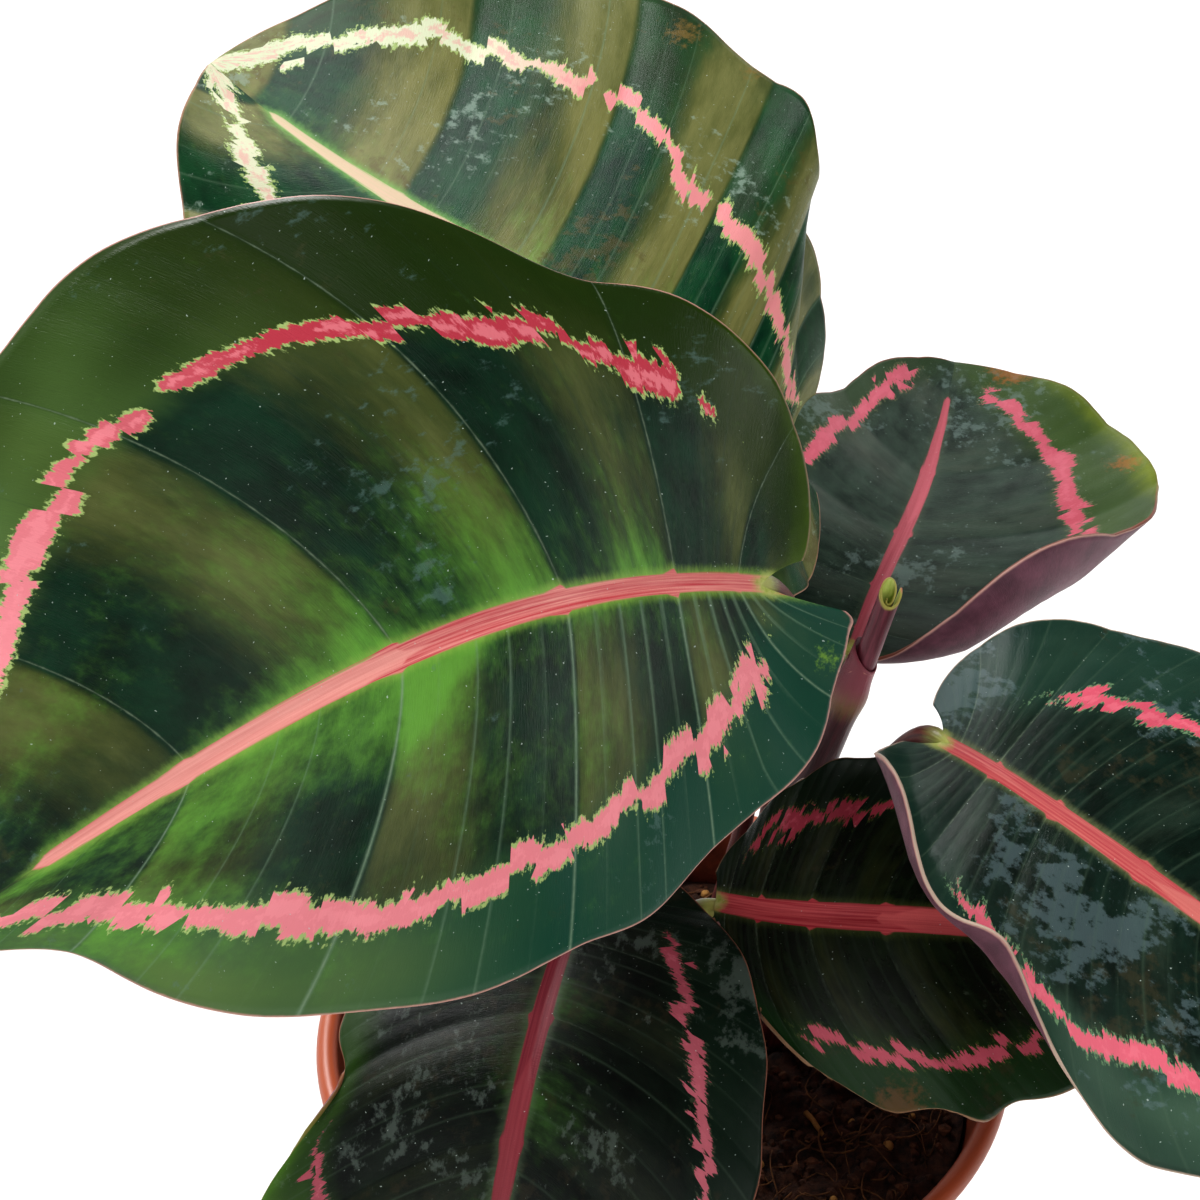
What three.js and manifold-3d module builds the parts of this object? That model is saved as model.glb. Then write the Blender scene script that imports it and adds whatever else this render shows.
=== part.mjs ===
// Potted calathea: six painted leaves and one rolled new leaf in a round nursery pot.
// Millimetres, +Z up. The origin is the centre of the pot's base, where it stands.
import * as THREE from 'three';
import { mergeVertices } from 'three/addons/utils/BufferGeometryUtils.js';
import Module from 'manifold-3d';

const wasm = await Module();
wasm.setup();

// ---- driving dimensions ----
const potHeight = 92;
const rimRadius = 52.5;
const baseRadius = 35;
const wall = 1.2;
const lipRadius = 1.7; // the rolled lip round the top
const footRing = 2; // how far the base is raised between its middle and its outer ring
const baseMiddle = 13;
const drainHoles = 8;
const drainWidth = 7;
const soilHeight = 81;
const soilClumps = 1.3; // height of the crumbs on the soil
const clearance = 0.3; // left between two pieces that touch
const bladeThickness = 0.7;
const ribDepth = 1.5; // how far the midrib stands out underneath, at the stalk
const ribWidth = 1.7;
const stalkWidth = 2.4; // half the blade's width where it meets its petiole
const tipWidth = 0.7;
const veinLead = 0.12; // keeps the first side veins apart along the midrib
const petioleSides = 8;
const petioleSteps = 18;

// ---- the leaves ----
// rib: four control points of the midrib, from the stalk to the tip.
// face: the way the upper side looks at the stalk and at the tip.
// In each pair the first value is for the left half and the second for the right half, seen from the stalk.
// half: widest half breadth. lobe: how far the base reaches back. full: roundness at the base and at the tip.
// skew: widest towards the base (+) or the tip (-). rise: degrees the half lifts at the rib and at the margin.
// notches: place, width and depth (mm) of dents and bulges in the margin, by side.
// curls: place, width, degrees, start (0 rib, 1 margin) and side of a rolled margin.
const leaves = [
  {
    name: '1',
    rib: [[12, -24, 195], [-26, -35, 208], [-57, -49, 187], [-100, -45, 151]],
    face: [[-0.1, -0.62, 0.78], [-0.5, -0.6, 0.62]],
    half: [41, 62], lobe: [0.42, 0.26], full: [[1.9, 1.9], [1.6, 1.1]], skew: [0.1, -0.25],
    rise: [[-5, -25], [6, -1]],
    notches: [
      [0.62, 0.09, 3, 0], [0.82, 0.08, -6.5, 0],
      [0.17, 0.06, 2.5, 1], [0.36, 0.05, -7, 1], [0.53, 0.08, 3, 1],
    ],
    curls: [], sweep: 2.5, tip: 0.04, pleats: 9, pleat: 0.8, wave: [1.2, 4.5, 0.4],
    foot: [7, 0.5], elbows: [[9, 6, 118], [27, -2, 181]],
  },
  {
    name: '2',
    rib: [[17, 14, 191], [0, 7, 213], [-40, 41, 209], [-66, 71, 218]],
    face: [[0.1, -0.35, 0.9], [-0.2, -0.3, 0.9]],
    half: [35, 54], lobe: [0.37, 0.34], full: [[1.15, 1.15], [0.85, 0.9]], skew: [0.05, -0.18],
    rise: [[0, -15], [0, -12]],
    notches: [[0.24, 0.05, 7, 1], [0.39, 0.05, -5, 1]], curls: [], sweep: 2.3, tip: 0.02,
    pleats: 9, pleat: 0.9, wave: [1.5, 4.5, 1.2],
    foot: [-1, 13], elbows: [[12, 14, 108], [22, 16, 170]],
  },
  {
    name: '3',
    rib: [[27, 20, 149], [34, 38, 157], [42, 61, 145], [50, 105, 144]],
    face: [[0, -0.1, 1], [0, -0.1, 1]],
    half: [29, 37], lobe: [0.36, 0.12], full: [[1, 0.75], [1.2, 0.72]], skew: [0.25, 0.02],
    rise: [[8, 15], [0, 8]],
    notches: [], curls: [[0.16, 0.25, 145, 0.48, 1]], sweep: 2.3, tip: 0.02, pleats: 7, pleat: 0.7,
    wave: [1, 3.5, 0], foot: [7, 16.5], elbows: [[14, 18, 104], [24, 14, 136]],
  },
  {
    name: '4',
    rib: [[37, -5, 154], [53, -16, 153], [82, -38, 137], [118, -51, 121]],
    face: [[0, -0.3, 0.95], [0.3, -0.3, 0.9]],
    half: [40, 34], lobe: [0.27, 0.2], full: [[1.25, 0.92], [1.5, 0.9]], skew: [-0.05, -0.15],
    rise: [[0, -8], [0, -15]],
    notches: [[0.45, 0.1, -7, 1]], curls: [[0.24, 0.13, 150, 0.5, 1], [0.44, 0.05, 60, 0.6, 1]],
    sweep: 2.4, tip: 0.05, pleats: 9, pleat: 0.7, wave: [1.2, 4, 2], foot: [14, 9], elbows: [[24, 10, 110], [30, 5, 158]],
  },
  {
    name: '5',
    rib: [[6, -13, 131], [26, -23, 134], [42, -19, 137], [73, -14, 118]],
    face: [[0, -0.5, 0.85], [0.1, -0.5, 0.85]],
    half: [23, 27], lobe: [0.08, -0.08], full: [[1.15, 0.87], [1.5, 1]], skew: [0.05, 0.05],
    rise: [[5, 3], [-5, -10]],
    notches: [], curls: [], sweep: 2.2, tip: 0.05, pleats: 7, pleat: 0.6, wave: [0.8, 4, 0.6],
    foot: [0, 1.5], elbows: [[-1, 0, 100], [-5, -9, 127]],
  },
  {
    name: '6',
    rib: [[-10, -11, 135], [-19, -31, 131], [-22, -65, 129], [-29, -70, 84]],
    face: [[-0.1, -0.3, 0.95], [-0.1, -0.7, 0.7]],
    half: [33, 31], lobe: [0.2, 0.12], full: [[1.15, 0.92], [1.1, 0.75]], skew: [-0.1, -0.3],
    rise: [[5, -12], [0, -19]],
    notches: [[0.52, 0.06, -6, 1], [0.66, 0.05, 3, 1]], curls: [], sweep: 2.2, tip: 0.05,
    pleats: 7, pleat: 0.7, wave: [1, 3.5, 1],
    foot: [-3, 6.5], elbows: [[-7, 6, 100], [-7, 2, 132]],
  },
];

// ---- shared helpers ----
const toVector = (p) => new THREE.Vector3(p[0], p[1], p[2]);
const clamp = THREE.MathUtils.clamp;
const radians = THREE.MathUtils.degToRad;
const bump = (value, centre, width) => Math.exp(-(((value - centre) / width) ** 2));

function bezier(points) {
  return new THREE.CubicBezierCurve3(...points.map(toVector));
}

function positionsOnly(geometry) {
  const plain = geometry.clone();
  plain.deleteAttribute('normal');
  plain.deleteAttribute('uv');
  return mergeVertices(plain, 1e-4);
}

function toSolid(geometry) {
  const plain = positionsOnly(geometry);
  const mesh = new wasm.Mesh({
    numProp: 3,
    vertProperties: new Float32Array(plain.attributes.position.array),
    triVerts: new Uint32Array(plain.index.array),
  });
  return new wasm.Manifold(mesh);
}

function toGeometry(solid) {
  const mesh = solid.getMesh();
  const geometry = new THREE.BufferGeometry();
  geometry.setAttribute('position', new THREE.BufferAttribute(new Float32Array(mesh.vertProperties), 3));
  geometry.setIndex(new THREE.BufferAttribute(new Uint32Array(mesh.triVerts), 1));
  geometry.computeVertexNormals();
  return geometry;
}

function addMesh(group, name, geometry, colour, roughness) {
  const material = new THREE.MeshStandardMaterial({ color: colour, roughness, metalness: 0 });
  const mesh = new THREE.Mesh(geometry, material);
  mesh.name = name;
  group.add(mesh);
  return mesh;
}

// A closed round bar along a curve, with a radius that changes along it.
function taperedBar(curve, radiusAt, sides, steps) {
  const bar = new THREE.CylinderGeometry(1, 1, 1, sides, steps);
  const place = bar.attributes.position;
  const frames = curve.computeFrenetFrames(steps, false);
  const spot = new THREE.Vector3();
  for (let i = 0; i < place.count; i++) {
    const along = 0.5 - place.getY(i);
    const step = Math.round(along * steps);
    const radius = radiusAt(along);
    spot.copy(curve.getPointAt(along));
    spot.addScaledVector(frames.normals[step], place.getX(i) * radius);
    spot.addScaledVector(frames.binormals[step], place.getZ(i) * radius);
    place.setXYZ(i, spot.x, spot.y, spot.z);
  }
  return positionsOnly(bar);
}

// ---- blade ----
// w runs round the margin from the stalk (0) to the tip (1), and r from the midrib (0) to the margin (1).
// A line of constant w is a side vein.
function flatSpot(leaf, side, w, r) {
  const turn = Math.PI * w;
  const reach = leaf.lobe[side] * Math.sin(turn) * (1 - w) ** 1.5;
  const point = leaf.tip * bump(w, 1, 0.07);
  const marginAlong = (leaf.length * ((1 - Math.cos(turn)) / 2 - reach + point)) / (1 + leaf.tip);
  const [fullBase, fullTip] = leaf.full[side];
  const fullness = fullBase + (fullTip - fullBase) * w;
  const round = Math.max(Math.sin(turn), 0) ** fullness * (1 + leaf.skew[side] * Math.cos(turn));
  const ends = stalkWidth * (1 - w) ** 6 + tipWidth * w ** 8;
  let dent = 1;
  for (const [place, width, depth, dentSide] of leaf.notches) {
    if (dentSide === side) dent += (depth / leaf.half[side]) * bump(w, place, width) * r ** 3;
  }
  const ribAlong = leaf.length * (veinLead * w + (1 - veinLead) * w ** leaf.sweep);
  const along = ribAlong + (marginAlong - ribAlong) * r ** 1.35 * dent;
  const across = (leaf.half[side] * round * (1 + 0.3 * (1 - r)) * dent + ends) * r;
  return [along, across];
}

// Lifts the flat spot across the rib, following the rise of the half and any rolled margin.
function liftedSpot(leaf, side, w, r, across) {
  const steps = 16;
  const [atRib, atMargin] = leaf.rise[side];
  let out = 0;
  let up = 0;
  let angle = 0;
  for (let k = 0; k < steps; k++) {
    const share = (k + 0.5) / steps;
    let degrees = atRib + ((atMargin - atRib) * across * share) / leaf.half[side];
    for (const [place, width, turned, start, curlSide] of leaf.curls) {
      const rolled = clamp((r * share - start) / (1 - start), 0, 1);
      if (curlSide === side) degrees += turned * bump(w, place, width) * rolled;
    }
    angle = radians(degrees);
    out += (Math.cos(angle) * across) / steps;
    up += (Math.sin(angle) * across) / steps;
  }
  const fade = Math.sqrt(Math.max(Math.sin(Math.PI * w), 0));
  const [height, count, phase] = leaf.wave;
  up += height * Math.sin(2 * Math.PI * count * w + phase + side) * r ** 3 * fade;
  up += leaf.pleat * Math.sin(2 * Math.PI * leaf.pleats * w) * 1.6 * r * (1 - 0.5 * r) * fade;
  return [out, up, angle];
}

function bladeSpot(leaf, side, w, r) {
  const [along, across] = flatSpot(leaf, side, w, r);
  const [out, up, angle] = liftedSpot(leaf, side, w, r, across);
  const held = clamp(along / leaf.length, 0, 1);
  const tangent = leaf.curve.getTangentAt(held);
  const normal = toVector(leaf.face[0]).normalize().lerp(toVector(leaf.face[1]).normalize(), held);
  normal.addScaledVector(tangent, -normal.dot(tangent)).normalize();
  const outwards = new THREE.Vector3().crossVectors(normal, tangent).multiplyScalar(side === 0 ? 1 : -1);
  const top = leaf.curve.getPointAt(held);
  top.addScaledVector(tangent, along - held * leaf.length);
  top.addScaledVector(outwards, out);
  top.addScaledVector(normal, up);
  const depth = bladeThicknessAt(leaf, along, across);
  const under = top.clone().addScaledVector(normal, -depth * Math.cos(angle));
  under.addScaledVector(outwards, depth * Math.sin(angle) * Math.min(3 * r, 1));
  return { top, under };
}

function bladeThicknessAt(leaf, along, across) {
  const taper = 1 - 0.85 * clamp(along / leaf.length, 0, 1);
  return bladeThickness + ribDepth * taper * bump(across, 0, ribWidth * (0.5 + 0.5 * taper));
}

const ribSteps = [0, 0.08, 0.24, 0.43, 0.62, 0.82, 1];

function bladeGeometry(leaf) {
  leaf.curve = bezier(leaf.rib);
  leaf.length = leaf.curve.getLength();
  const perSide = ribSteps.length - 1;
  const columns = 2 * perSide;
  const rows = 4 * leaf.pleats;
  const sheet = new THREE.PlaneGeometry(2, 1, columns, rows);
  const count = sheet.attributes.position.count;
  const points = new Float32Array(count * 6);
  for (let i = 0; i < count; i++) {
    const column = i % (columns + 1);
    const row = Math.floor(i / (columns + 1));
    const side = column < perSide ? 0 : 1;
    const { top, under } = bladeSpot(leaf, side, row / rows, ribSteps[Math.abs(column - perSide)]);
    top.toArray(points, i * 3);
    under.toArray(points, (count + i) * 3);
  }
  const triangles = [];
  const grid = sheet.index.array;
  for (let i = 0; i < grid.length; i += 3) {
    triangles.push(grid[i], grid[i + 2], grid[i + 1]);
    triangles.push(count + grid[i], count + grid[i + 1], count + grid[i + 2]);
  }
  const border = [];
  const corner = (row, column) => row * (columns + 1) + column;
  for (let k = 0; k < rows; k++) border.push(corner(k, 0));
  for (let k = 0; k < columns; k++) border.push(corner(rows, k));
  for (let k = rows; k > 0; k--) border.push(corner(k, columns));
  for (let k = columns; k > 0; k--) border.push(corner(0, k));
  border.forEach((from, k) => {
    const to = border[(k + 1) % border.length];
    triangles.push(from, count + to, count + from);
    triangles.push(from, to, count + to);
  });
  const geometry = new THREE.BufferGeometry();
  geometry.setAttribute('position', new THREE.BufferAttribute(points, 3));
  geometry.setIndex(triangles);
  geometry.computeVertexNormals();
  return geometry;
}

// ---- petiole ----
const petioleFootDepth = 14; // how deep a petiole stands in the soil
const sheathRadius = 2.3;
const petioleRadius = 1.2;
const jointRadius = 1.45; // the swollen joint below the blade
const jointLength = 9;

function petioleCurve(leaf) {
  const ribStart = toVector(leaf.rib[0]);
  const towardsTip = leaf.curve.getTangentAt(0);
  const top = ribStart.clone().addScaledVector(towardsTip, -3 * clearance);
  const normal = toVector(leaf.face[0]).normalize();
  normal.addScaledVector(towardsTip, -normal.dot(towardsTip)).normalize();
  top.addScaledVector(normal, -(bladeThickness + ribDepth) / 2 - 1.6 * clearance);
  const foot = [leaf.foot[0], leaf.foot[1], soilHeight - petioleFootDepth];
  return bezier([foot, leaf.elbows[0], leaf.elbows[1], [top.x, top.y, top.z]]);
}

function petioleRadiusAt(length) {
  return (share) => {
    const fromTop = (1 - share) * length;
    const sheath = (sheathRadius - petioleRadius) * clamp(1 - share / 0.45, 0, 1) ** 0.7;
    const joint = (jointRadius - petioleRadius) * bump(fromTop, jointLength / 2, jointLength / 2);
    const end = 0.5 * bump(fromTop, 0, 2);
    return petioleRadius + sheath + joint - end;
  };
}

// ---- the new leaf, rolled up, in the sheath that it grows out of ----
const shoot = {
  curve: [[6, 8, 67], [8, 8, 98], [20, 8, 130], [27.5, 8, 156]],
  footRadius: 4,
  topRadius: 2.1,
};
const roll = {
  curve: [[26, 8, 151], [27.5, 8, 156], [29, 8, 163], [31, 8, 171]],
  radius: 1.5,
  lipRadius: 1.8,
  bore: 0.9,
  boreDepth: 9,
};

function shootGeometry() {
  const curve = bezier(shoot.curve);
  const radiusAt = (share) => {
    const knuckle = 0.5 * bump(share, 0.86, 0.06);
    return shoot.topRadius + (shoot.footRadius - shoot.topRadius) * (1 - share) ** 1.2 + knuckle;
  };
  const socket = bezier(roll.curve);
  const pocket = taperedBar(socket, () => roll.radius + clearance, 12, 6);
  return toGeometry(toSolid(taperedBar(curve, radiusAt, 12, 16)).subtract(toSolid(pocket)));
}

function rollGeometry() {
  const curve = bezier(roll.curve);
  const length = curve.getLength();
  const radiusAt = (share) => roll.radius + (roll.lipRadius - roll.radius) * share ** 3;
  const body = taperedBar(curve, radiusAt, 12, 8);
  const start = 1 - roll.boreDepth / length;
  const beyond = curve.getPointAt(1).addScaledVector(curve.getTangentAt(1), 1);
  const boreCurve = new THREE.LineCurve3(curve.getPointAt(start), beyond);
  const bore = taperedBar(boreCurve, () => roll.bore, 10, 2);
  return toGeometry(toSolid(body).subtract(toSolid(bore)));
}

// ---- pot ----
const wallTop = potHeight - 2 * lipRadius;
const wallTopRadius = rimRadius - 1.9 * lipRadius;

function potRadiusAt(height) {
  return baseRadius + ((wallTopRadius - baseRadius) * height) / wallTop;
}

function potGeometry() {
  const edge = 0.5;
  const floor = footRing + wall;
  const outside = [
    [0, 0], [baseMiddle, 0], [baseMiddle + 1, footRing], [baseRadius - 5, footRing], [baseRadius - 4, 0],
    [baseRadius - edge, 0], [baseRadius, edge], [wallTopRadius, wallTop],
  ];
  const lip = [];
  for (let degrees = -80; degrees <= 170; degrees += 25) {
    const turn = radians(degrees);
    const out = rimRadius - lipRadius + lipRadius * Math.cos(turn);
    lip.push([out, potHeight - lipRadius + lipRadius * Math.sin(turn)]);
  }
  const inside = [
    [wallTopRadius - wall, wallTop - 2], [baseRadius - wall, floor + 3],
    [baseRadius - wall - 3, floor], [0, floor],
  ];
  const profile = [...outside, ...lip, ...inside].map(([x, y]) => new THREE.Vector2(x, y));
  const turned = new THREE.LatheGeometry(profile, 40);
  turned.rotateX(Math.PI / 2);
  let solid = toSolid(turned);
  for (let k = 0; k < drainHoles; k++) {
    const cutter = new THREE.CylinderGeometry(drainWidth / 2, drainWidth / 2, 2 * footRing + 2 * wall + 2, 10);
    cutter.rotateX(Math.PI / 2);
    cutter.translate(baseRadius - 11, 0, 0);
    cutter.rotateZ((2 * Math.PI * k) / drainHoles);
    solid = solid.subtract(toSolid(cutter));
  }
  return toGeometry(solid);
}

// ---- soil ----
// Rings of the surface, so that the crumbs can be raised by a formula.
const soilRings = 10;
const soilSides = 36;

function crumbHeight(x, y) {
  const coarse = Math.sin(0.42 * x + 1.3) * Math.cos(0.37 * y - 0.6);
  const middle = Math.sin(0.9 * x - 0.5 * y) * Math.cos(0.8 * y + 0.4 * x + 1);
  return soilClumps * (0.6 * coarse + 0.5 * middle);
}

function soilGeometry(holes) {
  const floor = footRing + wall + clearance;
  const top = potRadiusAt(soilHeight) - wall - clearance;
  const bottom = baseRadius - wall - 3 - clearance;
  const lowest = soilHeight - 3;
  const profile = [
    [0, floor], [bottom, floor], [baseRadius - wall - clearance, floor + 3],
    [potRadiusAt(lowest) - wall - clearance, lowest],
  ].map(([x, y]) => new THREE.Vector2(x, y));
  for (let k = 0; k <= soilRings; k++) {
    profile.push(new THREE.Vector2((top - 0.4) * (1 - k / soilRings), soilHeight));
  }
  const mound = new THREE.LatheGeometry(profile, soilSides);
  mound.rotateX(Math.PI / 2);
  const place = mound.attributes.position;
  for (let i = 0; i < place.count; i++) {
    if (place.getZ(i) < lowest + 1) continue;
    const x = place.getX(i);
    const y = place.getY(i);
    const fade = clamp((top - Math.hypot(x, y)) / 4, 0, 1);
    place.setZ(i, soilHeight - 0.8 + fade * (0.8 + crumbHeight(x, y)));
  }
  let solid = toSolid(mound);
  for (const hole of holes) solid = solid.subtract(toSolid(hole));
  return toGeometry(solid);
}

// ---- assembly ----
const potted = new THREE.Group();
const holes = [];
for (const leaf of leaves) {
  addMesh(potted, `blade_${leaf.name}`, bladeGeometry(leaf), 0x22382a, 0.4);
  const curve = petioleCurve(leaf);
  const radiusAt = petioleRadiusAt(curve.getLength());
  const petiole = taperedBar(curve, radiusAt, petioleSides, petioleSteps);
  addMesh(potted, `petiole_${leaf.name}`, petiole, 0x5e2228, 0.45);
  const wider = (share) => radiusAt(share) + 2 * clearance;
  holes.push(taperedBar(curve, wider, petioleSides, petioleSteps));
}
addMesh(potted, 'shoot_sheath', shootGeometry(), 0x4d2027, 0.45);
addMesh(potted, 'rolled_leaf', rollGeometry(), 0x6b2c3a, 0.45);
holes.push(taperedBar(bezier(shoot.curve), () => shoot.footRadius + 2 * clearance, 12, 16));
addMesh(potted, 'pot', potGeometry(), 0xb5633f, 0.5);
addMesh(potted, 'soil', soilGeometry(holes), 0x2c1d14, 0.95);

export default potted;
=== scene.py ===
# Potted calathea in a nursery pot: the visual pieces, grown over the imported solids.
# Lengths are millimetres until a piece is finished, and metres after that.
import random
from math import atan2, cos, exp, floor, hypot, pi, radians, sin, sqrt

import bmesh
import bpy
from mathutils import Matrix, Vector, noise


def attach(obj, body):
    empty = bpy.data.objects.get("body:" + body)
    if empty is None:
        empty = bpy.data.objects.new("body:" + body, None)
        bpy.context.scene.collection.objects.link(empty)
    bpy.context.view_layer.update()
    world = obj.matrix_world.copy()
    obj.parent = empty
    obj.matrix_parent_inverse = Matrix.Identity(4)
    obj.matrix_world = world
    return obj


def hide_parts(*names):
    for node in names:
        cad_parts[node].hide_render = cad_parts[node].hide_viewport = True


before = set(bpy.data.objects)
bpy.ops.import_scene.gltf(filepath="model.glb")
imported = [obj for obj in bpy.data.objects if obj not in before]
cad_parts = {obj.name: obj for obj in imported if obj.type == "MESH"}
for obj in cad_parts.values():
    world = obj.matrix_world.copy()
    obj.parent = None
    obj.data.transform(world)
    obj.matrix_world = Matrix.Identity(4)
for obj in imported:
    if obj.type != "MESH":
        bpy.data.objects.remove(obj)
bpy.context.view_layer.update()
mm = 0.001
print("solids loaded:", len(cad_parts))


def bump(value, centre, width):
    return exp(-(((value - centre) / width) ** 2))


def clamp(value, low=0.0, high=1.0):
    return max(low, min(high, value))


def blendAt(knots, place):
    # straight lines between (place, value) knots, level beyond the ends
    if place <= knots[0][0]:
        return knots[0][1]
    for (a, u), (b, v) in zip(knots, knots[1:]):
        if place <= b:
            return u + (v - u) * (place - a) / (b - a)
    return knots[-1][1]


def linearColour(code):
    # sRGB hex to linear, with full alpha
    parts = [int(code[k:k + 2], 16) / 255 for k in (1, 3, 5)]
    return tuple(c / 12.92 if c <= 0.04045 else ((c + 0.055) / 1.055) ** 2.4 for c in parts) + (1.0,)


def addNode(tree, kind, links=None, **settings):
    # a shader node with its settings, and with a link or a value on each named socket
    node = tree.nodes.new(kind)
    for name, value in settings.items():
        setattr(node, name, value)
    for name, value in (links or {}).items():
        if isinstance(value, bpy.types.NodeSocket):
            tree.links.new(value, node.inputs[name])
        else:
            node.inputs[name].default_value = value
    return node


class Bend:
    # a cubic curve through four control points, read by its share of the length
    def __init__(self, points, steps=200):
        self.points = [Vector(p) for p in points]
        self.steps = steps
        spots = [self.at(k / steps) for k in range(steps + 1)]
        self.lengths = [0.0]
        for a, b in zip(spots, spots[1:]):
            self.lengths.append(self.lengths[-1] + (b - a).length)
        self.length = self.lengths[-1]

    def at(self, t):
        a, b, c, d = self.points
        return a * (1 - t) ** 3 + b * 3 * t * (1 - t) ** 2 + c * 3 * t * t * (1 - t) + d * t ** 3

    def turned(self, share):
        wanted = clamp(share) * self.length
        low, high = 0, self.steps
        while high - low > 1:
            middle = (low + high) // 2
            if self.lengths[middle] <= wanted:
                low = middle
            else:
                high = middle
        step = self.lengths[high] - self.lengths[low]
        return (low + (wanted - self.lengths[low]) / step) / self.steps

    def spot(self, share):
        return self.at(self.turned(share))

    def heading(self, share):
        t = self.turned(share)
        a, b, c, d = self.points
        return ((b - a) * (1 - t) ** 2 + (c - b) * 2 * t * (1 - t) + (d - c) * t * t).normalized()


def numberLayers(bm, names):
    return [bm.verts.layers.float.new(name) for name in names]


def keepPlace(bm, name):
    # where each point lies, for the patterns of its surface
    place = bm.verts.layers.float_vector.new(name)
    for v in bm.verts:
        v[place] = v.co


def placeMesh(bm, name, scale=mm):
    # into a new object at the origin, from millimetres to metres
    bmesh.ops.scale(bm, vec=(scale, scale, scale), verts=bm.verts)
    mesh = bpy.data.meshes.new(name)
    bm.to_mesh(mesh)
    bm.free()
    piece = bpy.data.objects.new(name, mesh)
    bpy.context.scene.collection.objects.link(piece)
    return piece


def finishPiece(bm, name, node, materials, smooth=True):
    # a piece in its slot, standing for its node
    piece = placeMesh(bm, name)
    for polygon in piece.data.polygons:
        polygon.use_smooth = smooth
    for material in materials:
        piece.data.materials.append(material)
    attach(piece, "root")
    if node:
        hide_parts(node)
    return piece


def wash(field, level, soft, ragged, grain, colour, **more):
    # one wash of colour. It covers where its field, a number kept on the mesh, is under level. soft is half the
    # width of its edge, ragged how far the edge wanders, and grain how fine that is along each direction. more:
    # second and secondField mix in another colour, cover thins the wash, detail and place are its grain's.
    return {"field": field, "level": level, "soft": soft, "ragged": ragged, "grain": grain, "colour": colour, **more}


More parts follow.
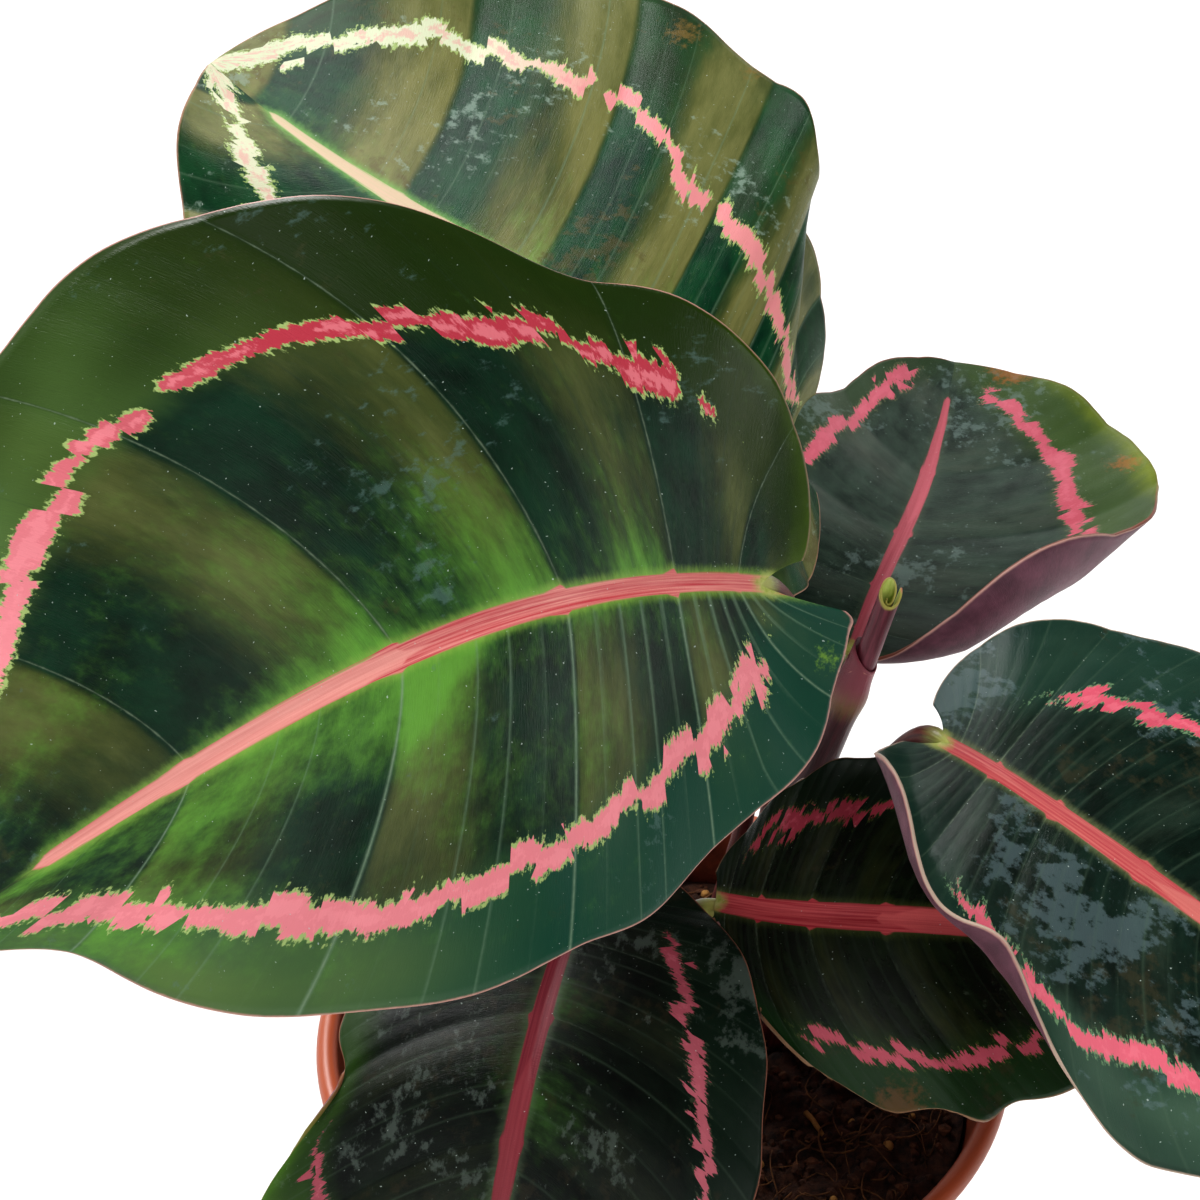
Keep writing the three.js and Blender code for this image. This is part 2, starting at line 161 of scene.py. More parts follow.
def layeredSurface(name, look, washes, placeField):
    # two base colours in a broad mottle, the washes over them in order, and a fine relief
    material = bpy.data.materials.new(name)
    material.use_nodes = True
    tree = material.node_tree
    shader = tree.nodes["Principled BSDF"]
    # the numbers and places kept on the mesh
    kept = {"everywhere": 0.5}
    wanted = [placeField, *(layer[key] for layer in washes for key in ("field", "secondField", "place")
                            if key in layer)]
    if "ring" in look:
        wanted += ["fromRing", "ringHalf"]
    for field in wanted:
        if field not in kept and field != "ringEdge":
            source = addNode(tree, "ShaderNodeAttribute", attribute_name=field)
            kept[field] = source.outputs["Vector" if field.endswith("Place") else "Fac"]
    place = kept[placeField]
    # the noises: the mottle, the relief, and one for each wash
    grains = {"mottle": (place, look["mottle"], 5.0, 0.62), "fine": (place, look["fine"], 5.0, 0.6)}
    for k, layer in enumerate(washes):
        grains[k] = (kept[layer.get("place", placeField)], layer["grain"], layer.get("detail", 3.0), 0.65)
    if "ring" in look:
        grains["fray"] = (place, look["ring"]["frayGrain"], 3.0, 0.7)
    for key, (at, scale, detail, roughness) in grains.items():
        spot = addNode(tree, "ShaderNodeMapping", {"Vector": at, "Scale": scale})
        grains[key] = addNode(tree, "ShaderNodeTexNoise", {
            "Vector": spot.outputs[0], "Scale": 1.0, "Detail": detail, "Roughness": roughness}).outputs[0]

    if "ring" in look:
        # each strip between two fine veins carries its piece of the ring a little in or out, with frayed ends
        ring = look["ring"]
        strips = addNode(tree, "ShaderNodeMapping", {"Vector": place, "Scale": ring["stepGrain"]})
        step = addNode(tree, "ShaderNodeTexVoronoi", {"Vector": strips.outputs[0], "Scale": 1.0, "Randomness": 0.9})
        pushed = addNode(tree, "ShaderNodeMath", {0: step.outputs["Color"], 1: ring["step"], 2: kept["fromRing"]},
                         operation="MULTIPLY_ADD")
        frayed = addNode(tree, "ShaderNodeMath", {0: grains["fray"], 1: ring["fray"], 2: pushed.outputs[0]},
                         operation="MULTIPLY_ADD")
        centred = addNode(tree, "ShaderNodeMath", {0: frayed.outputs[0], 1: (ring["step"] + ring["fray"]) / 2},
                          operation="SUBTRACT")
        distance = addNode(tree, "ShaderNodeMath", {0: centred.outputs[0]}, operation="ABSOLUTE")
        edge = addNode(tree, "ShaderNodeMath", {0: distance.outputs[0], 1: kept["ringHalf"]}, operation="SUBTRACT")
        kept["ringEdge"] = edge.outputs[0]

    spread = addNode(tree, "ShaderNodeMapRange", {"Value": grains["mottle"], "From Min": 0.36, "From Max": 0.64})
    colour = addNode(tree, "ShaderNodeMix", {
        "Factor": spread.outputs[0], "A": linearColour(look["base"][0]), "B": linearColour(look["base"][1]),
    }, data_type="RGBA").outputs["Result"]
    for k, layer in enumerate(washes):
        edge = addNode(tree, "ShaderNodeMath", {0: grains[k], 1: layer["ragged"], 2: kept[layer["field"]]},
                       operation="MULTIPLY_ADD")
        middle = layer["level"] + 0.5 * layer["ragged"]
        cover = addNode(tree, "ShaderNodeMapRange", {
            "Value": edge.outputs[0], "From Min": middle - layer["soft"], "From Max": middle + layer["soft"],
            "To Min": layer.get("cover", 1.0), "To Max": 0.0,
        }, interpolation_type="SMOOTHSTEP")
        paint = linearColour(layer["colour"])
        if "second" in layer:
            # the second colour comes in with a field of its own, or in streaks of the grain
            if "secondField" in layer:
                share = kept[layer["secondField"]]
            else:
                share = addNode(tree, "ShaderNodeMapRange", {
                    "Value": grains[k], "From Min": 0.36, "From Max": 0.76}).outputs[0]
            paint = addNode(tree, "ShaderNodeMix", {
                "Factor": share, "A": paint, "B": linearColour(layer["second"]),
            }, data_type="RGBA").outputs["Result"]
        colour = addNode(tree, "ShaderNodeMix", {"Factor": cover.outputs[0], "A": colour, "B": paint},
                         data_type="RGBA").outputs["Result"]
    tree.links.new(colour, shader.inputs["Base Color"])
    settings = {"Roughness": look["roughness"], "IOR": look.get("ior", 1.45),
                "Specular IOR Level": look.get("gloss", 0.5), "Sheen Weight": look.get("sheen", 0.0)}
    for socket, value in settings.items():
        shader.inputs[socket].default_value = value
    relief = addNode(tree, "ShaderNodeBump", {
        "Height": grains["fine"], "Strength": look["relief"], "Distance": look["depth"] * mm})
    tree.links.new(relief.outputs[0], shader.inputs["Normal"])
    return material


# One entry for each leaf. Of a pair, the first is for half 0, left of the midrib on the way to the tip. w is a
# place round the margin, 0 at the stalk and 1 at the tip, and r runs from 0 at the midrib to 1 at the margin.
# Shape, as the solids have it: rib, the four control points of the midrib; face, where the blade faces at its stalk
# and its tip; half, the widths; lobe, how far it reaches back beside the stalk; full and skew, how broad it stays
# and where; rise, how many degrees a half lifts at the stalk and outside; notches, [w, width, mm out, half]; curls,
# [w, width, degrees, r where it starts, half]; sweep, how far the veins run forward; tip, its point; pleats, how
# many, and veinShift, where the first vein starts; pleat, their height; wave, the margin's height, count and phase.
# Ring: ring, its r by w; ringStart, its first w; ringBreaks, [w, width]; ringBand, its width; pale, the share of
# ringPale by w. Midrib: ribBand, its width; ribEnd, where it fades out. halo, the lime beside it, strength and
# reach. olive, dust and stain, how much of each, the olive partly painted light on the lit flank of each pleat;
# glow and outerPale, how much by w, at the margin and outside the ring, glow being painted light shining through
# the leaf; paintedGloss (painted highlight streaks), outerCover, veinCover and ribEdgeCover, how opaque each is;
# oliveReach, how far out the olive goes; veinPale, how pale the veins are; marks, [half, w, r, radius]. Tints,
# streaks and the deep pair are colours, and gloss and roughness are the skin's.
usualLeaf = dict(
    notches=[], curls=[], sweep=2.2, tip=0.05, veinShift=0.2, ringBreaks=[[], []], oliveReach=0.5, paintedGloss=0.5,
    outerCover=0.6, veinPale=[0.15, 0.15], veinCover=0.3, marks=[])
leaves = {
    "1": dict(
        usualLeaf, rib=[[12, -24, 195], [-26, -35, 208], [-57, -49, 187], [-100, -45, 151]],
        face=[[-0.1, -0.62, 0.78], [-0.5, -0.6, 0.62]],
        half=[41, 62], lobe=[0.42, 0.26], full=[[1.9, 1.9], [1.6, 1.1]], skew=[0.1, -0.25], rise=[[-5, -25], [6, -1]],
        notches=[[0.06, 0.03, 12, 0], [0.17, 0.05, -3.5, 0], [0.62, 0.09, 3, 0], [0.82, 0.08, -6.5, 0],
                 [0.17, 0.06, 2.5, 1], [0.36, 0.05, -7, 1], [0.53, 0.08, 3, 1]],
        sweep=2.5, tip=0.04, pleats=6.45, pleat=0.8, wave=[1.2, 4.5, 0.4],
        ring=[[(0.2, 0.38), (0.3, 0.5), (0.45, 0.57), (0.55, 0.67), (0.63, 0.76), (0.7, 0.73), (0.8, 0.69),
               (0.92, 0.72)],
              [(0.2, 0.54), (0.3, 0.58), (0.45, 0.57), (0.55, 0.62), (0.65, 0.67), (0.8, 0.65), (0.92, 0.66)]],
        ringStart=[0.15, 0.2], ringBreaks=[[(0.2, 0.01)], [(0.245, 0.012), (0.29, 0.008), (0.62, 0.008)]],
        ringBand=4.2, pale=[[(0, 0.75)], [(0.55, 0.0), (0.8, 0.9)]],
        ribBand=1.55, ribEnd=0.79, halo=[1.7, 15], olive=0.95, dust=0.42,
        deep=["#051c10", "#0f3320"], oliveTint="#454d26", haloTint="#67a03c", outerTint=["#0f4736", "#223406"],
        ringTint="#b23c4b", ringPale="#ee949c", ringEdgeTint="#a9bf78", ribTint="#b83f49", ribStreak="#e6a499",
        ribEdgeTint="#86a94c",
        glow=[[(0, 0.0)], [(0, 1.0), (0.25, 0.9), (0.5, 0.4), (1, 0.75)]], paintedBacklitTint="#47600f", paintedGlossTint="#6d7446",
        outerPale=[[(0.5, 0), (0.68, 0.8)], [(0.5, 0), (0.75, 1)]], outerPaleTint="#5d7a40", oliveReach=0.4,
        veinPale=[0.85, 0.1], veinCover=0.55, ribEdgeCover=0.75, gloss=0.3, stainTint="#3d3f22", dustTint="#5b7670",
        stain=0.35, marks=[[0, 0.15, 0.86, 0.9]], markTint="#8fbb3c", marginTint="#c9988e", roughness=0.3,
        outerCover=0.85),
    "2": dict(
        usualLeaf, rib=[[17, 14, 191], [0, 7, 213], [-40, 41, 209], [-66, 71, 218]],
        face=[[0.1, -0.35, 0.9], [-0.2, -0.3, 0.9]],
        half=[35, 54], lobe=[0.37, 0.34], full=[[1.15, 1.15], [0.85, 0.8]], skew=[0.05, -0.18],
        rise=[[0, -15], [0, -12]], notches=[[0.24, 0.05, 7, 1], [0.39, 0.05, -5, 1]], sweep=2.3, tip=0.02, pleats=6.5,
        pleat=1.3, wave=[1.5, 4.5, 1.2],
        ring=[[(0.3, 0.6), (0.82, 0.6), (0.91, 0.54), (0.98, 0.42)],
              [(0.1, 0.3), (0.2, 0.27), (0.34, 0.32), (0.45, 0.38), (0.55, 0.42), (0.6, 0.52), (0.67, 0.58),
               (0.75, 0.57), (0.83, 0.67), (0.94, 0.62), (0.99, 0.4)]],
        ringStart=[0.12, 0.05], ringBreaks=[[], [(0.5, 0.006), (0.67, 0.006)]], ringBand=3.6,
        pale=[[(0, 0.95)], [(0.66, 0.1), (0.8, 1.0)]],
        ribBand=1.35, ribEnd=0.86, halo=[0.8, 8], olive=1.3, dust=0.5,
        deep=["#082a1c", "#164a2c"], oliveTint="#585c30", haloTint="#7fb457", outerTint=["#1b4a2e", "#2a4a2c"],
        ringTint="#e0858c", ringPale="#d3d8b8", ringEdgeTint="#a9c077", ribTint="#b3bf82", ribStreak="#dcb9a4",
        ribEdgeTint="#7db35c",
        glow=[[(0, 0.3)], [(0, 0.4)]], paintedBacklitTint="#3f6b3c", paintedGlossTint="#a39f68", paintedGloss=0.42,
        outerPale=[[(0, 0.3)], [(0.3, 0.1), (0.6, 0.8)]], outerPaleTint="#6c7350", oliveReach=1.1,
        veinPale=[0.6, 0.75], veinCover=0.4, ribEdgeCover=0.8, gloss=0.08, ringMottle="#de8b91", stainTint="#5a4f2c",
        dustTint="#9db3a4", stain=0.5, marks=[[1, 0.52, 0.97, 1.5], [1, 0.6, 0.9, 2.5]], markTint="#8a6f3f",
        marginTint="#b98f7c", roughness=0.32, outerCover=0.2),
    "3": dict(
        usualLeaf, rib=[[27, 20, 149], [34, 38, 157], [42, 61, 145], [50, 105, 144]],
        face=[[0, -0.1, 1], [0, -0.1, 1]],
        half=[29, 37], lobe=[0.36, 0.12], full=[[1, 0.75], [1.2, 0.72]], skew=[0.25, 0.02], rise=[[8, 15], [0, 8]],
        curls=[[0.16, 0.25, 145, 0.48, 1]], sweep=2.3, tip=0.02, pleats=5.5, pleat=1.0, wave=[1, 3.5, 0],
        ring=[[(0.3, 0.66), (0.68, 0.7), (0.91, 0.72)],
              [(0.4, 0.6), (0.58, 0.66), (0.64, 0.6), (0.73, 0.63), (0.88, 0.53), (0.97, 0.35)]],
        ringStart=[0.3, 0.42], ringBreaks=[[(0.98, 0.05)], [(0.99, 0.05)]], ringBand=4.0,
        pale=[[(0, 0.5)], [(0.5, 0.1), (0.9, 0.5)]],
        ribBand=1.2, ribEnd=0.86, halo=[0.2, 10], olive=0.45, dust=0.55,
        deep=["#15241c", "#2f4035"], oliveTint="#454e42", haloTint="#4c6348", outerTint=["#2b3f1f", "#34491f"],
        ringTint="#ab4a58", ringPale="#c26676", ringEdgeTint="#5f6248", ribTint="#93434d", ribStreak="#ad5862",
        ribEdgeTint="#59644c",
        glow=[[(0, 0.2)], [(0.3, 0.3), (0.6, 1.0), (0.9, 0.9), (1, 0.4)]], paintedBacklitTint="#7f8a24", paintedGlossTint="#66716a",
        outerPale=[[(0, 0)], [(0, 0.2)]], outerPaleTint="#5f7a2a", ribEdgeCover=0.25, gloss=0.2, stainTint="#2c3024",
        dustTint="#6b7d78", stain=0.4, marks=[[1, 0.66, 0.9, 2.4], [1, 0.95, 0.99, 3.5]], markTint="#9c5a24",
        marginTint="#7c4538", roughness=0.4, outerCover=0.7),
    "4": dict(
        usualLeaf, rib=[[37, -5, 154], [53, -16, 153], [82, -38, 137], [118, -51, 121]],
        face=[[0, -0.3, 0.95], [0.3, -0.3, 0.9]],
        half=[40, 34], lobe=[0.27, 0.29], full=[[1.25, 0.92], [1.5, 0.9]], skew=[-0.05, -0.15],
        rise=[[0, -8], [0, -15]], notches=[[0.45, 0.1, -7, 1]],
        curls=[[0.24, 0.13, 150, 0.5, 1], [0.44, 0.05, 60, 0.6, 1]], sweep=2.4, pleats=7, pleat=0.7, wave=[1.2, 4, 2],
        ring=[[(0.28, 0.36), (0.38, 0.47), (0.49, 0.55), (0.6, 0.62), (0.9, 0.68)],
              [(0.3, 0.5), (0.46, 0.66), (0.56, 0.67), (0.64, 0.61), (0.9, 0.68)]],
        ringStart=[0.26, 0.34], ringBand=3.4, pale=[[(0, 0.2)], [(0, 0.5)]],
        ribBand=1.5, ribEnd=0.97, halo=[0.25, 6], olive=0.4, dust=0.7,
        deep=["#08160f", "#13281f"], oliveTint="#39493c", haloTint="#58784c", outerTint=["#183d33", "#16382f"],
        ringTint="#cc5066", ringPale="#e07a88", ringEdgeTint="#6f8f6a", ribTint="#ae3d47", ribStreak="#d07d74",
        ribEdgeTint="#9aa36d",
        glow=[[(0, 0.9), (0.15, 0.4), (0.3, 0)], [(0, 0.0)]], paintedBacklitTint="#5f7a3c", paintedGlossTint="#71807a", paintedGloss=0.45,
        outerPale=[[(0, 0.2)], [(0.4, 0.2), (0.6, 0.7)]], outerPaleTint="#5d7a63", veinPale=[0.45, 0.4],
        veinCover=0.25, ribEdgeCover=0.35, gloss=0.22, stainTint="#3d3a28", dustTint="#64777a", stain=0.6,
        marginTint="#c4ad9b", roughness=0.32),
    "5": dict(
        usualLeaf, rib=[[6, -13, 131], [26, -23, 134], [42, -19, 137], [73, -14, 118]],
        face=[[0, -0.5, 0.85], [0.1, -0.5, 0.85]],
        half=[24.5, 27], lobe=[0.08, -0.08], full=[[1.15, 0.87], [1.5, 1]], skew=[0.05, 0.05],
        rise=[[5, 3], [-5, -10]], pleats=7, veinShift=0.1, pleat=0.6, wave=[0.8, 4, 0.6],
        ring=[[(0.18, 0.53), (0.34, 0.53), (0.45, 0.55), (0.53, 0.62), (0.9, 0.66)],
              [(0.3, 0.68), (0.43, 0.6), (0.5, 0.63), (0.58, 0.68), (0.73, 0.67), (0.92, 0.66)]],
        ringStart=[0.14, 0.28], ringBand=2.7, pale=[[(0, 0.1)], [(0, 0.7)]],
        ribBand=1.9, ribEnd=0.98, halo=[0.35, 6], olive=0.42, dust=0.25,
        deep=["#070f06", "#14220e"], oliveTint="#3c4322", haloTint="#4f7332", outerTint=["#14281a", "#1b421c"],
        ringTint="#a33c4c", ringPale="#cf6676", ringEdgeTint="#3f5226", ribTint="#a62f3c", ribStreak="#dd6f6e",
        ribEdgeTint="#66743c",
        glow=[[(0, 0.3)], [(0, 0.5)]], paintedBacklitTint="#2b4d1f", paintedGlossTint="#6a6a44", outerPale=[[(0, 0)], [(0, 0.2)]],
        outerPaleTint="#33502a", ribEdgeCover=0.35, gloss=0.28, stainTint="#3b3620", dustTint="#5d6a58", stain=0.5,
        marks=[[1, 0.42, 0.98, 3.6]], markTint="#6e4728", marginTint="#947358", roughness=0.26),
    "6": dict(
        usualLeaf, rib=[[-10, -11, 135], [-19, -31, 131], [-22, -65, 129], [-29, -70, 84]],
        face=[[-0.1, -0.3, 0.95], [-0.1, -0.7, 0.7]],
        half=[33, 31], lobe=[0.2, 0.12], full=[[1.15, 0.92], [0.9, 0.75]], skew=[-0.1, -0.22],
        rise=[[5, -12], [0, -19]], notches=[[0.52, 0.06, -6, 1], [0.66, 0.05, 3, 1]], pleats=6, pleat=0.7,
        wave=[1, 3.5, 1],
        ring=[[(0.27, 0.48), (0.36, 0.51), (0.45, 0.55), (0.54, 0.65), (0.6, 0.75), (0.9, 0.75)],
              [(0.3, 0.8), (0.6, 0.78), (0.9, 0.78)]],
        ringStart=[0.24, 0.55], ringBand=2.9, pale=[[(0.3, 0.1), (0.55, 0.8)], [(0, 0.3)]],
        ribBand=1.45, ribEnd=0.98, halo=[0.9, 7], olive=0.4, dust=0.6,
        deep=["#070d0a", "#131d15"], oliveTint="#2a3120", haloTint="#41682f", outerTint=["#13281b", "#2b4a1a"],
        ringTint="#94404e", ringPale="#c26c78", ringEdgeTint="#3c4634", ribTint="#6d2430", ribStreak="#93434a",
        ribEdgeTint="#5f6f55",
        glow=[[(0, 0.2)], [(0.3, 0.3), (0.6, 1.0), (1, 0.8)]], paintedBacklitTint="#4f7a1c", paintedGlossTint="#4d5344", paintedGloss=0.4,
        outerPale=[[(0, 0)], [(0.5, 0.3), (0.8, 0.8)]], outerPaleTint="#41641f", veinPale=[0.3, 0.35],
        ribEdgeCover=0.45, gloss=0.2, stainTint="#302c1e", dustTint="#647068", stain=0.65, marginTint="#96604c",
        roughness=0.3),
}

bladeMesh = {
    "columns": 44,        # from the midrib to the margin
    "crowding": 1.4,      # how much closer together they are at the midrib
    "rowsPerPleat": 30,
    "thickness": 0.5,
    "ribDepth": 1.5,      # how far the midrib stands out underneath at the stalk
    "ribWidth": 1.7,
    "ribTaper": 0.85,     # how much of both is gone at the tip
    "ribGroove": 0.35,    # the shallow channel over it on the upper side
    "grooveWidth": 1.3,
    "stalkWidth": 0.2,
    "sinus": 0.06,        # where round the margin the blade starts, beside the stalk
    "tipWidth": 0.7,
    "veinLead": 0.12,
    "veinsPerPleat": 5,
    "fineQuilt": 0.1,
    "ripple": 2.2,        # how uneven the margin is, in mm
    "rollSteps": 16,      # short straight pieces that a rolled margin is made of
}


def flatSpot(leaf, side, w, r):
    # w runs round the margin from stalk to tip, r from the midrib to the margin
    turn = pi * w
    reach = leaf["lobe"][side] * sin(turn) * (1 - w) ** 1.5
    point = leaf["tip"] * bump(w, 1, 0.07)
    marginAlong = leaf["length"] * ((1 - cos(turn)) / 2 - reach + point) / (1 + leaf["tip"])
    fullBase, fullTip = leaf["full"][side]
    fullness = fullBase + (fullTip - fullBase) * w
    roundness = max(sin(turn), 0) ** fullness * (1 + leaf["skew"][side] * cos(turn))
    ends = bladeMesh["stalkWidth"] * (1 - w) ** 6 + bladeMesh["tipWidth"] * w ** 8
    dent = 1
    for place, width, depth, dentSide in leaf["notches"]:
        if dentSide == side:
            dent += depth / leaf["half"][side] * bump(w, place, width) * r ** 3
    rippled = noise.noise(Vector((w * leaf["pleats"] * 1.6, 20.0 * side + leaf["half"][0], 4.0)))
    dent += bladeMesh["ripple"] * rippled / leaf["half"][side] * r ** 8 * sin(turn)
    lead = bladeMesh["veinLead"]
    ribAlong = leaf["length"] * (lead * w + (1 - lead) * w ** leaf["sweep"])
    along = ribAlong + (marginAlong - ribAlong) * r ** 1.35 * dent
    across = (leaf["half"][side] * roundness * (1 + 0.3 * (1 - r)) * dent + ends) * r
    return along, across


def liftedSpot(leaf, side, w, r, across):
    # lifts the half away from the rib, and rolls its margin
    atRib, atMargin = leaf["rise"][side]
    curls = [(turned * bump(w, place, width), start)
             for place, width, turned, start, curlSide in leaf["curls"] if curlSide == side]
    steps = bladeMesh["rollSteps"]
    out = up = 0.0
    for k in range(steps):
        share = (k + 0.5) / steps
        lift = atRib + (atMargin - atRib) * across * share / leaf["half"][side]
        for turned, start in curls:
            lift += turned * clamp((r * share - start) / (1 - start))
        out += cos(radians(lift)) * across / steps
        up += sin(radians(lift)) * across / steps
    fade = sqrt(max(sin(pi * w), 0))
    height, count, phase = leaf["wave"]
    up += height * sin(2 * pi * count * w + phase + side) * r ** 3 * fade
    # each strip between two main veins bulges, and so does each between two fine ones, a little
    veins = w * leaf["pleats"] - leaf["veinShift"]
    quilt = leaf["pleat"] * (1.5 * abs(sin(pi * veins)) - 0.9)
    quilt += bladeMesh["fineQuilt"] * abs(sin(pi * veins * bladeMesh["veinsPerPleat"]))
    up += quilt * 1.6 * r * (1 - 0.5 * r) * fade
    return out, up


def bladeSpot(leaf, side, w, r):
    along, across = flatSpot(leaf, side, w, r)
    out, up = liftedSpot(leaf, side, w, r, across)
    held = clamp(along / leaf["length"])
    heading = leaf["bend"].heading(held)
    normal = leaf["faceStart"].lerp(leaf["faceEnd"], held)
    normal = (normal - heading * normal.dot(heading)).normalized()
    outwards = normal.cross(heading) * (1 if side == 0 else -1)
    up -= bladeMesh["ribGroove"] * (1 - bladeMesh["ribTaper"] * held) * bump(across, 0, bladeMesh["grooveWidth"])
    spot = leaf["bend"].spot(held) + heading * (along - held * leaf["length"])
    return spot + outwards * out + normal * up, along, across


painting = {
    "ringWander": 1.2,        # mm
    "ringTaper": 0.09,        # how far round the margin the ring takes to reach its full width
    "ringBreak": 4,           # how much narrower it is at a break
    "ribWidths": [(0, 0.7), (0.3, 1), (0.55, 0.9), (0.8, 0.5), (1, 0.15)],    # share of ribBand along the rib
    "dart": 0.45, "dartWidth": 0.02,      # the midrib's colour runs out a little along each main vein
    "flank": 0.25, "flankSoft": 0.5,      # the olive share of a pleat, and how softly it ends
    "haloPlace": 0.68, "haloWidth": 0.3,
    "patchSizes": (0.05, 0.16),           # dust lies in patches of about 20 mm and of about 6 mm
    "stainSizes": (0.06, 0.2),
    "clear": 50.0,                        # further from a field than any of its washes reaches
}


def paintFields(leaf, side, w, r, along, across):
    # the distances in mm, and the amounts, that the surface reads for its colours
    halfLine = hypot(*[a - b for a, b in zip(flatSpot(leaf, side, w, 1), flatSpot(leaf, side, w, 0))])
    seed = leaf["seed"] + 40 * side
    held = clamp(along / leaf["length"])

    def unevenness(wScale, rScale, offset=0.0):
        return noise.noise(Vector((w * wScale, r * rScale, seed + offset)))

    # the ring, and where it thins out
    wander = noise.noise(Vector((w * 9, seed, 2.0)))
    pinch = noise.noise(Vector((w * 17, seed, 7.0)))
    started = clamp((w - leaf["ringStart"][side]) / painting["ringTaper"])
    fromRing = (r - blendAt(leaf["ring"][side], w)) * halfLine + painting["ringWander"] * wander
    ringHalf = leaf["ringBand"] / 2 * (0.85 + 0.7 * pinch) * started - 1.3 * (1 - started)
    ringHalf -= sum(painting["ringBreak"] * bump(w, place, width) for place, width in leaf["ringBreaks"][side])
    # the midrib, with a dart of its colour along each main side vein
    veins = w * leaf["pleats"] - leaf["veinShift"]
    beat = veins - floor(veins)
    off = (beat if beat < 0.5 else 5 * (1 - beat)) / leaf["pleats"]
    dart = painting["dart"] * leaf["ribBand"] * clamp(1 - off / painting["dartWidth"]) * clamp(w * 6 - 1) * (1 - held)
    ribHalf = leaf["ribBand"] * blendAt(painting["ribWidths"], held) + dart
    ribHalf -= 3 * clamp((held - leaf["ribEnd"]) * 12)
    # each pleat is olive on one flank, up to the main vein, and deep green on the other
    # partly the leaf's own banding, partly painted light: the olive flank lit, the deep green flank in shade
    flank = beat if side else 1 - beat
    stripe = 1 - clamp((flank - painting["flank"]) / painting["flankSoft"])
    stripe = stripe * stripe * (3 - 2 * stripe) * clamp(flank / 0.04)
    blotch = (0.85 + 0.7 * unevenness(15, 3, 9)) * (0.4 + 0.6 * bump(r, 0.5, leaf["oliveReach"]))
    strength, reach = leaf["halo"]
    halo = strength * exp(-max(across - ribHalf, 0) / reach) * (0.55 + 0.45 * stripe)
    halo *= (0.65 + 0.9 * unevenness(9, 3)) * bump(w, painting["haloPlace"], painting["haloWidth"])
    markGap = painting["clear"]
    for markSide, place, out, radius in leaf["marks"]:
        if markSide == side:
            spotAlong, spotAcross = flatSpot(leaf, side, place, out)
            markGap = min(markGap, hypot(along - spotAlong, across - spotAcross) - radius)
    fine = veins * bladeMesh["veinsPerPleat"]
    gapOnRib = leaf["length"] * leaf["sweep"] * w ** (leaf["sweep"] - 1) * 0.6
    pleatGap = ((1 - r) * gapOnRib + r * 2.6 * leaf["half"][side]) / leaf["pleats"]
    outerPale = blendAt(leaf["outerPale"][side], w) * (0.8 + 0.8 * unevenness(12, 6))
    marginGap = (1 - r) * halfLine
    return {
        "fromRing": fromRing, "ringHalf": ringHalf, "ringPale": blendAt(leaf["pale"][side], w),
        "ribGap": across - ribHalf, "ribTipGap": across - ribHalf + 6 * clamp((0.42 - held) / 0.3),
        "outerLeft": -fromRing if side == 0 else painting["clear"],
        "outerRight": -fromRing if side == 1 else painting["clear"],
        "outerPale": clamp(outerPale),
        "haloLack": 1 - clamp(halo), "oliveLack": 1 - clamp(leaf["olive"] * stripe * blotch),
        # painted light: a lighter green near the margin, as if lit through the leaf
        "marginGap": marginGap, "paintedBacklitGap": marginGap + 30 * (1 - clamp(blendAt(leaf["glow"][side], w))),
        "veinGap": abs(fine - round(fine)) * pleatGap / bladeMesh["veinsPerPleat"] + (0 if r > 0.03 else 1),
        "mainVeinGap": abs(veins - round(veins)) * pleatGap,
        "veinPale": leaf["veinPale"][side],
        "jointGap": hypot(along * 0.7, across), "markGap": markGap,
    }


def patchLack(amount, flat, sizes, weight, offset=0.0):
    # 1 where there is none of it, down to 0 in the middle of a patch
    shift = Vector((0, 0, offset))
    large, small = [noise.noise(flat * size + shift) for size in sizes]
    return 1 - clamp(amount * (0.5 + 0.9 * (large + weight * small)))


